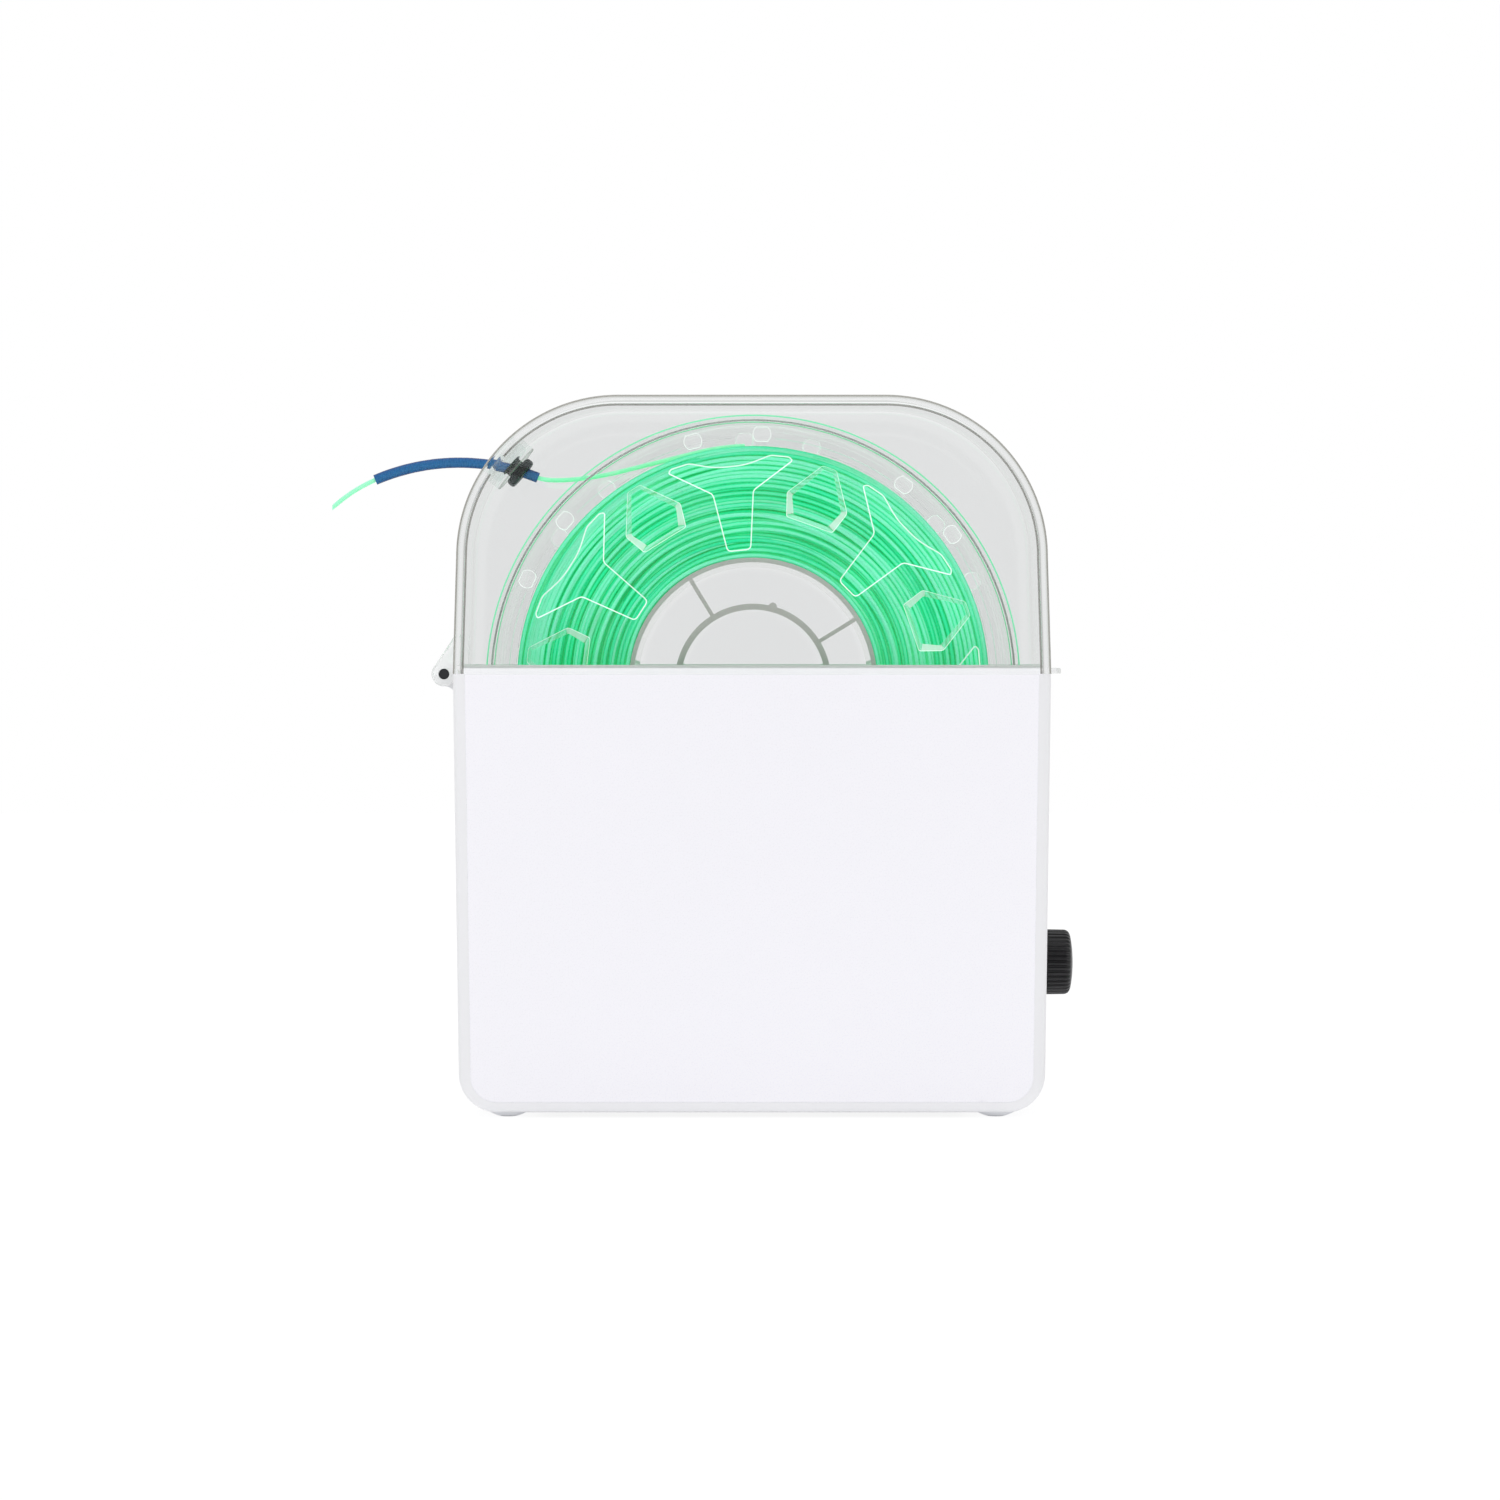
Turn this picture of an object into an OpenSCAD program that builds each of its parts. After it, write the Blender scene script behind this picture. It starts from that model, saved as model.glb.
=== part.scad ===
// Filament dryer box: a heated bench-top chamber for one 1 kg filament spool.
// +X is the narrow control face, -X the hinge face, -Y the broad face with the feed port to the left.
// Z = 0 is the flat underside of the housing; the rubber feet stand below it.

/* [Housing] */
// Width of the housing where it meets the lid
body_w = 225.6; // [222:0.2:232]
// Depth of the housing over its two side panels
body_d = 100; // [98:0.5:106]
// Height of the seam between housing and lid
seam_z = 165.2; // [160:0.2:172]
// How much each narrow face leans in from seam to base
body_draft = 2.2; // [1.2:0.1:3]
// Radius of the two lower corners of the housing
corner_r = 14.5; // [12:0.5:16]
// Wall thickness of the housing
wall = 2.8; // [2.4:0.1:3]
// Width of the sloping rim around each side panel
rim_w = 4.6; // [4.2:0.1:5.2]
// Thickness of the side panels
panel_t = 2.2; // [2:0.1:2.4]

/* [Lid] */
// Height of the lid above the seam
lid_h = 105.3; // [104:0.1:110]
// Radius of the two upper corners of the lid
lid_r = 61; // [50:1:64]
// Wall thickness of the clear lid
lid_wall = 2.5; // [2:0.1:2.6]
// How much each narrow face of the lid leans in up to the corner radius
lid_draft = 1.3; // [0.6:0.1:2]
// Height of the tongue on the housing that the lid drops over
tongue_h = 2.5; // [2:0.1:4]
// Distance of the hinge axis outside the housing wall
hinge_out = 3.9; // [3.6:0.1:4.2]
// Radius of the hinge barrels
barrel_r = 4.7; // [4.4:0.1:5]
// Radius of the hinge pin
pin_r = 2; // [1.5:0.1:2.2]

/* [Spool] */
// Outer radius of the spool flanges
spool_r = 101.4; // [98:0.2:102]
// Overall width of the spool
spool_w = 66; // [58:1:68]
// Radius of the hole through the spool
spool_bore = 27.4; // [25:0.1:28]
// Radius of the barrel the filament is wound on
core_r = 47.1; // [40:0.1:50]
// Outer radius of the wound filament
wind_r = 89.7; // [70:0.1:90]
// Height of the spool axis
spool_z = 162.2; // [161.5:0.1:163]
// Sideways position of the spool axis
spool_x = 0.4; // [0:0.1:1]

/* [Rollers] */
// Radius of the rollers that carry the spool
roller_r = 10; // [9.5:0.1:11]
// Angle of each roller away from straight below the spool axis
roller_a = 35; // [32:1:36]
// Radius of the roller axles
axle_r = 2.5; // [2:0.1:2.5]

/* [Feed tube] */
// Filament diameter
fil_d = 1.75; // [1.75, 1.6, 1.5]
// Outer diameter of the guide tube
tube_od = 4; // [3.8:0.1:4]
// Inner diameter of the guide tube
tube_id = 2; // [1.9:0.1:2.2]

/* [Controls] */
// Height of the knob axis
knob_z = 54.3; // [53:0.1:56]
// Radius of the knob over its ribs
knob_r = 12.5; // [11:0.1:14]
// Number of grip ribs on the knob
knob_ribs = 38; // [24:2:48]
// Height of the centre of the display window
window_z = 92; // [90:0.5:93]

/* [Hidden] */

// housing
half_top = body_w / 2;                   // half width at the seam
half_base = half_top - body_draft;       // half width near the base
wall_x = half_base - wall;               // inner face of the narrow walls near the base
panel_y = body_d / 2 - panel_t;          // inner face of the side panels
inner_y = panel_y - 2.75;                // inner face of the broad walls
rim_rise = 0.87;                         // rim width at the base, as a share of that at the sides
cover = [80, 40];                        // half size of the opening for the base cover
cover_r = 6;
column = [75, 35];                       // screw columns
column_z = 2.65;                         // their lower end
foot = [92.2, 36];
foot_r = 7.6;
foot_h = 2;

// lid and hinge
lid_top = seam_z + lid_h;
lid_d = body_d - 2.8;                    // depth of the lid
lid_half = half_top - lid_draft;         // half width of the lid where its corners start
lid_gap = 0.1;
lid_fit = 0.35;                          // play between lid and tongue
tongue_x = half_top - lid_wall - lid_fit;
tongue_y = lid_d / 2 - lid_wall - lid_fit;
tongue_w = 2;
hinge_x = -(half_top + hinge_out);
hinge_z = seam_z;
web_r = 5;                               // fillet under the housing's hinge barrel
knuckle = 20;                            // half length of the housing's hinge barrel
knuckle_gap = 0.4;
hinge_half = 36;                         // half length of the whole hinge
port_a = 139.5;                          // direction of the feed port, seen from the front
port_c = [-(lid_half - lid_r), lid_top - lid_r];

// chamber floor and what hangs below it
deck_z = 48;
deck_top = deck_z + 2.4;
deck_screw_z = deck_top + 1.35;          // top of the screw heads on the floor
duct_top = deck_z - 0.05;
duct_lug = [65.3, 28];                   // screw lugs of the air duct
fan_x = -30;
fan_hole = [25, 27.6];                   // fan screws, from the fan axis
fan_z0 = 32.8;
fan_z1 = 47.9;
heat_x = 30;

// electronics
bay_x = 88;                              // where the electronics bay starts
board_x = 98;                            // back of the control board
front_x = board_x + 1.65;                // where the parts on its front start
window_half = [26, 14];                  // half size of the window in Y and Z
jack_y = 26;
jack_z = 22;

// spool and rollers
spool_half_w = spool_w / 2;
flange_t = 2.6;
flange_in = spool_half_w - flange_t;     // inner face of each flange
barrel_t = 1.7;                          // wall of the winding barrel at the flange
bear_r = 8;
ball_path_r = 5.25;
roller_d = spool_r + roller_r + 0.03;    // from spool axis to roller axis
roller_dx = roller_d * sin(roller_a);
roller_z = spool_z - roller_d * cos(roller_a);
roller_y = spool_half_w - flange_t / 2;
clip_y = 43.95;                          // clips near the axle ends

// ---------- helpers ----------
// Ranges are [low, high] pairs; side is 1 or -1.
function about(center, half) = [center - half, center + half];
function span(side, near, far) = side > 0 ? [near, far] : [-far, -near];
function size(range) = range[1] - range[0];
// range through the narrow face on the given side
function through_face(side) = span(side, half_base - 8, half_top + 2);
// control face in X at height z
function face_at(z) = half_base + body_draft * z / seam_z;

function arc(x, z, r, from, to, steps) =
    [for (i = [0:steps]) let (a = from + (to - from) * i / steps) [x + r * cos(a), z + r * sin(a)]];

// outline of the housing in X and Z, pulled in by in_x at the sides and in_z at the base
function body_x(z) = half_base + body_draft * (z - corner_r) / (seam_z - corner_r);
function body_outline(in_x, in_z, top) = concat(
    arc(-(half_base - corner_r), corner_r - (in_x - in_z), corner_r - in_x, 180, 270, 10),
    arc(half_base - corner_r, corner_r - (in_x - in_z), corner_r - in_x, 270, 360, 10),
    [[body_x(top) - in_x, top], [-(body_x(top) - in_x), top]]);

// outline of the lid in X and Z, pulled in by inset, from height low up
function lid_x(z) =
    lid_half + lid_draft * (lid_top - lid_r - z) / (lid_top - lid_r - seam_z - lid_gap);
function lid_outline(inset, low) = concat(
    [[-(lid_x(low) - inset), low]],
    arc(-(lid_half - lid_r), lid_top - lid_r, lid_r - inset, 180, 90, 14),
    arc(lid_half - lid_r, lid_top - lid_r, lid_r - inset, 90, 0, 14),
    [[lid_x(low) - inset, low]]);

// rounded rectangle from its half sizes
function rounded(hx, hy, r) = concat(
    arc(hx - r, hy - r, r, 0, 90, 5),
    arc(-(hx - r), hy - r, r, 90, 180, 5),
    arc(-(hx - r), -(hy - r), r, 180, 270, 5),
    arc(hx - r, -(hy - r), r, 270, 360, 5));

// slab of the given depth, centred on Y, with an outline in X and Z
module xz(depth, points) rotate([90, 0, 0]) linear_extrude(depth, center = true) polygon(points);
module plate(points, zs) translate([0, 0, zs[0]]) linear_extrude(size(zs)) polygon(points);
module box(xs, ys, zs) translate([xs[0], ys[0], zs[0]]) cube([size(xs), size(ys), size(zs)]);
module cyl_x(y, z, r, xs, fn = 64)
    translate([xs[0], y, z]) rotate([0, 90, 0]) cylinder(h = size(xs), r = r, $fn = fn);
module cyl_y(x, z, r, ys, fn = 64)
    translate([x, ys[1], z]) rotate([90, 0, 0]) cylinder(h = size(ys), r = r, $fn = fn);
module cyl_z(x, y, r, zs, fn = 48)
    translate([x, y, zs[0]]) cylinder(h = size(zs), r = r, $fn = fn);
// cylinder on the axis of the feed port, over a range of distances from port_c
module port_cyl(r, range)
    translate([port_c[0] + range[0] * cos(port_a), 0, port_c[1] + range[0] * sin(port_a)])
        rotate([0, 90 - port_a, 0]) cylinder(h = size(range), r = r, $fn = 64);

module at_corners(place) for (sx = [-1, 1], sy = [-1, 1])
    translate([sx * place[0], sy * place[1], 0]) children();

// cross-head screw with its head face at z, pointing up or down
module screw(z, up = false, head_r = 2.8, length = 9, r = 1.2)
    translate([0, 0, z]) rotate([up ? 0 : 180, 0, 0]) difference() {
        union() {
            cylinder(h = 1.3, r = head_r, $fn = 32);
            translate([0, 0, 1.2]) cylinder(h = length, r = r, $fn = 24);
        }
        box(about(0, 1.9), about(0, 0.35), [-0.1, 0.7]);
        box(about(0, 0.35), about(0, 1.9), [-0.1, 0.7]);
    }

// ---------- housing ----------
// steps of the sloping rim: inset from the outline, setback from the broad face
rim = [[0, 3.4], [0.35, 2.5], [1.2, 1.9], [rim_w, 0.25]];
module body_solid() hull() for (step = rim)
    xz(body_d - 2 * step[1], body_outline(step[0], step[0] * rim_rise, seam_z));

// barrel on the housing, with a hollow fillet down to the wall
module hinge_bracket() {
    root_x = -half_top + 1.4;
    root_z = seam_z - 0.02;
    cyl_y(hinge_x, hinge_z, barrel_r, about(0, knuckle), 32);
    xz(2 * knuckle, concat(
        [[hinge_x, hinge_z], [hinge_x, hinge_z + 3.2], [-half_top - 0.05, root_z],
            [root_x, root_z], [root_x, seam_z - 9.6]],
        arc(-half_top + 0.15 - web_r, hinge_z - 9.65, web_r, 0, 84, 8)));
}

// screw columns, each with a web to the broad wall
module columns() for (sx = [-1, 1], sy = [-1, 1]) {
    cyl_z(sx * column[0], sy * column[1], 4.2, [column_z, deck_z]);
    box(about(sx * column[0], 1.2), span(sy, column[1], inner_y + 1), [column_z, deck_z]);
}

// rectangular ring, open down to the inner side of the tongue
module seam_ring(points, zs) difference() {
    plate(points, zs);
    plate(rounded(tongue_x - tongue_w, tongue_y - tongue_w, 1), [zs[0] - 1, zs[1] + 1]);
}

module at_pegs() for (x = [-80, 0, 80], z = [40, 125]) translate([x, 0, z]) children();
module at_board_screws() for (sy = [-1, 1], z = [40, 72]) translate([0, sy * 26, z]) children();

// seats for the side panels, with their peg holes
module panel_seats() for (side = [-1, 1]) {
    translate([0, side * (panel_y + 1.75), 0])
        xz(4.5, body_outline(rim_w, rim_w * rim_rise, seam_z + 9));
    at_pegs() cyl_y(0, 0, 2.1, about(side * (body_d / 2 - 4), 3));
}

module base_openings() {
    plate(rounded(cover[0], cover[1], cover_r), [-1, 2.9]);
    at_corners(foot) cyl_z(0, 0, foot_r + 0.1, [-1, 0.8]);
}

module housing_screw_holes() {
    at_corners(column) {
        cyl_z(0, 0, 1.25, [-1, 14]);
        cyl_z(0, 0, 1.25, [deck_z - 12, deck_z + 1]);
    }
    at_board_screws() cyl_x(0, 0, 0.95, [board_x, board_x + 8]);
}

// display window and knob on the control face, power inlet and vents on the hinge face
module face_openings() {
    box(through_face(1), about(0, window_half[0]), about(window_z, window_half[1]));
    cyl_x(0, knob_z, 3.75, through_face(1));
    cyl_x(jack_y, jack_z, 4.3, through_face(-1));
    for (y = [-40:5.5:4]) box(through_face(-1), [y, y + 2.6], [16, 40]);
}

// room for the lid's hinge barrels, and the pin hole
module body_hinge_cuts() {
    for (side = [-1, 1])
        cyl_y(hinge_x, hinge_z, barrel_r + 0.4, span(side, knuckle, hinge_half + 1));
    cyl_y(hinge_x, hinge_z, pin_r + 0.02, about(0, knuckle + 1));
}

module body_shell() color("white") difference() {
    union() {
        difference() {
            body_solid();
            xz(2 * inner_y, body_outline(wall, wall, seam_z + 5));
        }
        // thicker band under the tongue, then the tongue itself
        seam_ring(rounded(half_top - 1.3, body_d / 2 - 2.6, 3), [seam_z - 5, seam_z]);
        seam_ring(rounded(tongue_x, tongue_y, 1.6), [seam_z - 1, seam_z + tongue_h]);
        columns();
        hinge_bracket();
        at_board_screws() cyl_x(0, 0, 2.6, [front_x, half_base - 1]);
    }
    panel_seats();
    base_openings();
    housing_screw_holes();
    face_openings();
    body_hinge_cuts();
}

module side_panel(side) color("ghostwhite") {
    play = 0.12;
    translate([0, side * (body_d / 2 - panel_t / 2), 0])
        xz(panel_t, body_outline(rim_w + play, rim_w * rim_rise + play, seam_z - 0.05));
    at_pegs() cyl_y(0, 0, 2.05, span(side, inner_y + 0.3, panel_y + 0.5));
}

module base_cover() color("gainsboro") difference() {
    play = 0.2;
    union() {
        plate(rounded(cover[0] - play, cover[1] - play, cover_r - play), [0, 2.5]);
        box(about(0, 60), about(0, 1.5), [2.4, 4.5]);
    }
    at_corners(column) {
        cyl_z(0, 0, 1.7, [-1, 4]);
        cyl_z(0, 0, 3.2, [-1, 1.4]);
    }
    for (sx = [-1, 1], y = [-30:11:25]) box(about(sx * 40, 14), [y, y + 3.5], [-1, 5]);
}
module cover_screws() color("silver") at_corners(column) screw(0.08, up = true);

// radius and height of each point
foot_profile = [[0, -foot_h], [3, -foot_h], [4.5, -foot_h + 0.4], [6, -foot_h + 0.99],
    [7, -foot_h + 1.5], [foot_r, -foot_h + 1.85], [foot_r, 0.78], [0, 0.78]];
module rubber_feet() color("dimgray") at_corners(foot)
    rotate_extrude($fn = 64) polygon(foot_profile);

// ---------- chamber ----------
// post that holds one end of a roller axle
module floor_post(x, side) difference() {
    post_y = span(side, 38.5, 43.5);
    union() {
        box(about(x, 6), post_y, [deck_top - 1, roller_z]);
        cyl_y(x, roller_z, 6, post_y);
        box(about(x, 1.5), span(side, 32, 39), [deck_top - 1, deck_top + 6]);
    }
    cyl_y(x, roller_z, axle_r + 0.03, about(0, 50));
}
module floor_slots(center_x) for (x = [-24:6:24])
    box(about(center_x + x, 1.5), about(0, 25), [deck_z - 1, deck_z + 5]);

module chamber_floor() color("whitesmoke") difference() {
    end_x = -(wall_x - 0.6);
    edge_y = inner_y - 0.3;
    union() {
        plate([[end_x, -edge_y], [bay_x, -edge_y], [bay_x, edge_y], [end_x, edge_y]],
            [deck_z + 0.02, deck_top]);
        // raised guides that keep the spool centred
        for (side = [-1, 1]) box(about(0, 36), about(side * 36, 1.2), [deck_z + 1, deck_z + 21]);
        for (sx = [-1, 1], side = [-1, 1]) floor_post(spool_x + sx * roller_dx, side);
    }
    floor_slots(fan_x);
    floor_slots(heat_x);
    // hole for the sensor lead
    cyl_z(-104.6, 0, 1.6, [deck_z - 1, deck_z + 4]);
    at_corners(column) cyl_z(0, 0, 1.7, [deck_z - 1, deck_z + 6]);
    at_corners(duct_lug) cyl_z(0, 0, 1.2, [deck_z - 1, deck_z + 5]);
    translate([fan_x, 0, 0]) at_corners(fan_hole) cyl_z(0, 0, 1.3, [deck_z - 1, deck_z + 5]);
}
module floor_screws() color("silver") at_corners(column) screw(deck_screw_z);

// outlines of the bay cover and of the space in it, in X and Z
bay_end = wall_x - 0.2;
bay_outer = [[bay_x - 2, deck_top + 0.02], [bay_x - 2, 98], [101, 121], [bay_end, 121],
    [bay_end, deck_top + 0.02]];
bay_inner = [[bay_x, deck_top - 1], [bay_x, 97.2], [101.9, 119], [half_base, 119],
    [half_base, 40]];
module bay_cover() color("whitesmoke") difference() {
    xz(2 * inner_y - 1, bay_outer);
    // the space inside, less two bosses
    difference() {
        xz(2 * inner_y - 5, bay_inner);
        for (side = [-1, 1]) cyl_x(side * 36, 60, 3, [80, 91]);
    }
    for (side = [-1, 1]) cyl_x(side * 36, 60, 1.1, [70, 89.5]);
    for (y = [-12:5.4:10]) box([80, 92], [y, y + 3], [70, 88]);
}

module duct_lugs() for (sx = [-1, 1], sy = [-1, 1]) hull() {
    cyl_z(sx * duct_lug[0], sy * duct_lug[1], 3.4, [deck_z - 9, duct_top]);
    box(about(sx * 60.5, 0.5), about(sy * duct_lug[1], 3.4), [deck_z - 14, duct_top]);
}
module air_duct() color("dimgray") difference() {
    union() {
        box(about(0, 61.5), about(0, 32), [10, duct_top]);
        duct_lugs();
    }
    difference() {
        box(about(0, 59.5), about(0, 30.3), [12, deck_z + 1]);
        // ledges that carry the heater
        for (side = [-1, 1]) box([2, 58], span(side, 27.8, 31), [10, 28.9]);
    }
    at_corners(duct_lug) cyl_z(0, 0, 1, [deck_z - 7.5, deck_z + 1]);
    // holes for the heater and fan leads
    cyl_y(-6, 20, 3, [29, 34], 32);
    cyl_x(-20, 38, 1.5, [-63, -58], 32);
}
module duct_screws() color("silver") at_corners(duct_lug)
    screw(deck_screw_z, head_r = 2.4, length = 8, r = 0.95);

module fan_frame() color("black") translate([fan_x, 0, 0]) difference() {
    union() {
        difference() {
            box(about(0, 29), about(0, 30), [fan_z0, fan_z1]);
            cyl_z(0, 0, 27.4, [fan_z0 - 1, fan_z1 + 1], 96);
        }
        // motor plate, its four arms and the rotor pin
        cyl_z(0, 0, 12.6, [fan_z0, fan_z0 + 2]);
        for (a = [45:90:315])
            rotate([0, 0, a]) box([11, 29], about(0, 1.5), [fan_z0, fan_z0 + 2]);
        cyl_z(0, 0, 1.5, [fan_z0 + 1, fan_z1 - 2]);
    }
    at_corners(fan_hole) cyl_z(0, 0, 1.1, [fan_z1 - 12, fan_z1 + 1]);
}

blades = 7;
module fan_rotor() color("dimgray") translate([fan_x, 0, 0]) difference() {
    union() {
        cyl_z(0, 0, 12.5, [fan_z0 + 2.6, fan_z1 - 1]);
        // tilted blades, trimmed to a ring
        intersection() {
            for (i = [0:blades - 1])
                translate([0, 0, (fan_z0 + fan_z1) / 2 + 0.8]) rotate([0, 0, i * 360 / blades])
                    rotate([42, 0, 0]) box([10, 30], about(0, 8), about(0, 0.7));
            difference() {
                cyl_z(0, 0, 26.4, [fan_z0 + 2.8, fan_z1 - 1.2], 96);
                cyl_z(0, 0, 11, [fan_z0, fan_z1]);
            }
        }
    }
    cyl_z(0, 0, 1.55, [fan_z0, fan_z1 - 1.8]);
    cyl_z(0, 0, 10.8, [fan_z0, fan_z0 + 4.5]);
}
module fan_screws() color("silver") translate([fan_x, 0, 0]) at_corners(fan_hole)
    screw(deck_screw_z, head_r = 2.3, r = 1);

// two side bars, long strips, cross bars and thin cross fins
module ptc_heater() color("silver") translate([heat_x, 0, 0]) {
    length = about(0, 26);
    for (side = [-1, 1]) box(length, about(side * 28, 1.6), [29, 44]);
    for (y = [-26.5:4.4:22]) box(length, [y, y + 1], [29.5, 43.5]);
    for (x = [-25.8, -0.8, 24.2]) box([x, x + 1.6], about(0, 27), [30.5, 42.5]);
    for (x = [-18:6:20]) box([x, x + 0.5], about(0, 27), [32, 41]);
}
module heater_terminals() color("gold") for (side = [-1, 1])
    box([heat_x - 29.4, heat_x - 26.05], about(side * 9, 3), [34, 34.8]);

// ---------- electronics ----------
module control_board() color("darkgreen") translate([board_x, 0, 0]) difference() {
    union() {
        box([0, 1.6], about(0, 30), [34, 108]);
        // terminal blocks, converter coil, controller and capacitors on the back
        box([-7, 0.1], [10, 24], [36, 42]);
        box([-5, 0.1], [-24, -10], [36, 41]);
        cyl_x(-14, 88, 5, [-6.4, 0.1]);
        box([-1.6, 0.1], [0, 10], [66, 76]);
        for (y = [14, 22]) cyl_x(y, 90, 3, [-4.5, 0.1], 32);
        box([-2.4, 0.1], [-20, -8], [62, 74]);
    }
    at_board_screws() cyl_x(0, 0, 1.2, [-10, 3]);
}
module board_screws() color("silver") at_board_screws()
    translate([board_x - 1.35, 0, 0]) rotate([0, 90, 0]) difference() {
        union() {
            cylinder(h = 1.3, r = 1.8, $fn = 32);
            cylinder(h = 8, r = 0.9, $fn = 24);
        }
        box(about(0, 1.2), about(0, 0.25), [-0.1, 0.6]);
    }

window_x = face_at(window_z - window_half[1]);  // control face at the window's lower edge
module display_module() color("darkslategray") difference() {
    box([front_x, window_x - 3.2], about(0, 24), about(window_z, 12.5));
    box([window_x - 4, window_x - 3], about(0, 22), about(window_z, 10.5));
}
module display_window() color("black") for (layer = [[-2.6, 2.5], [-3.1, 0.6]]) // [x, thickness]
    translate([window_x + layer[0], 0, window_z]) rotate([0, 90, 0]) linear_extrude(layer[1])
        polygon(rounded(window_half[1] - 0.15, window_half[0] - 0.15, 1.5));

face_x = face_at(knob_z);                // control face at the knob
module encoder_body() color("silver") difference() {
    union() {
        box([front_x, board_x + 7.6], about(0, 6.3), about(knob_z, 6.3));
        cyl_x(0, knob_z, 3.5, [board_x + 7, face_x - 0.1]);
        for (side = [-1, 1])
            box([front_x, board_x + 4.4], about(side * 6.6, 0.4), about(knob_z, 2));
    }
    cyl_x(0, knob_z, 3.05, [board_x + 3, face_x + 2]);
}
module encoder_nut() color("silver") difference() {
    cyl_x(0, knob_z, 5.6, [board_x + 7.65, board_x + 9.65], 6);
    cyl_x(0, knob_z, 3.53, [board_x + 7, board_x + 11]);
}
module encoder_plunger() color("white") cyl_x(0, knob_z, 2.6, [board_x + 4, board_x + 5]);
module encoder_shaft() color("silver") difference() {
    cyl_x(0, knob_z, 3, [board_x + 5.05, face_x + 9]);
    // flat on the +Y side
    box([face_x + 1.6, face_x + 10], [1.5, 4], about(knob_z, 4));
}

knob_x0 = face_x + 0.8;
knob_x1 = face_x + 12;
// four points to each rib
ribbed_circle = [for (i = [0:knob_ribs * 4 - 1])
    let (a = i * 90 / knob_ribs, r = i % 4 < 2 ? knob_r : knob_r - 0.5) [r * cos(a), r * sin(a)]];
// radius, and place along X
knob_profile = [[0, knob_x0], [knob_r + 0.1, knob_x0], [knob_r + 0.1, knob_x0 + 1],
    [knob_r - 0.15, knob_x1 - 3.2], [knob_r - 0.9, knob_x1 - 1.9], [knob_r - 2.2, knob_x1 - 1.1],
    [knob_r * 0.55, knob_x1 - 0.3], [0, knob_x1]];
// built along Z, then turned to point along +X
module control_knob() color("#242425") translate([0, 0, knob_z]) rotate([0, 90, 0]) difference() {
    intersection() {
        translate([0, 0, knob_x0]) linear_extrude(knob_x1 - knob_x0) polygon(ribbed_circle);
        rotate_extrude($fn = 96) polygon(knob_profile);
    }
    // flatted hole for the shaft
    difference() {
        cyl_z(0, 0, 3.02, [knob_x0 - 1, knob_x0 + 8.6], 64);
        box(about(0, 4), [1.53, 4.53], [knob_x0 + 0.8, knob_x0 + 10.8]);
    }
    // hollow around the hub
    difference() {
        cyl_z(0, 0, knob_r - 2.3, [knob_x0 - 1, knob_x0 + 6], 64);
        cyl_z(0, 0, 5.2, [knob_x0 - 2, knob_x0 + 10], 64);
    }
}

module dc_jack() color("#1c1c1e") {
    difference() {
        union() {
            box([-wall_x + 0.2, -wall_x + 13], about(jack_y, 5.5), about(jack_z, 6));
            cyl_x(jack_y, jack_z, 4.2, [-half_base - 0.2, -wall_x + 2]);
        }
        cyl_x(jack_y, jack_z, 3.15, [-half_top - 2, -wall_x + 8]);
    }
    cyl_x(jack_y, jack_z, 1.05, [-half_base + 1, -wall_x + 9], 48);
}

// ---------- leads and filament: a round section carried along a path ----------
function unit(v) = v / norm(v);
function tangent_at(path, i) = unit(path[min(i + 1, len(path) - 1)] - path[max(i - 1, 0)]);
// direction across the path, carried on from point to point so the section doesn't twist
function across_at(path, i) = i == 0 ? unit(cross(tangent_at(path, 0), [0.13, 0.97, 0.2]))
    : let (t = tangent_at(path, i), u = across_at(path, i - 1)) unit(u - t * (u * t));
// corner cutting, once
function soften(path) = concat(
    [path[0]],
    [for (i = [0:len(path) - 2])
        each [path[i] * 0.78 + path[i + 1] * 0.22, path[i] * 0.22 + path[i + 1] * 0.78]],
    [path[len(path) - 1]]);
module sweep(path, r, sides) {
    count = len(path);
    points = [for (i = [0:count - 1])
        let (t = tangent_at(path, i), u = across_at(path, i), v = cross(t, u))
        for (j = [0:sides - 1])
            path[i] + r * (cos(360 * j / sides) * u + sin(360 * j / sides) * v)];
    start_cap = [for (j = [0:sides - 1]) j];
    end_cap = [for (j = [0:sides - 1]) count * sides - 1 - j];
    skin = [for (i = [0:count - 2], j = [0:sides - 1])
        each let (a = i * sides + j, b = i * sides + (j + 1) % sides)
            [[a, a + sides, b + sides], [a, b + sides, b]]];
    polyhedron(points, concat([start_cap], [end_cap], skin), convexity = 8);
}
module lead(path, r) sweep(soften(soften(path)), r, 10);

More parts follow.
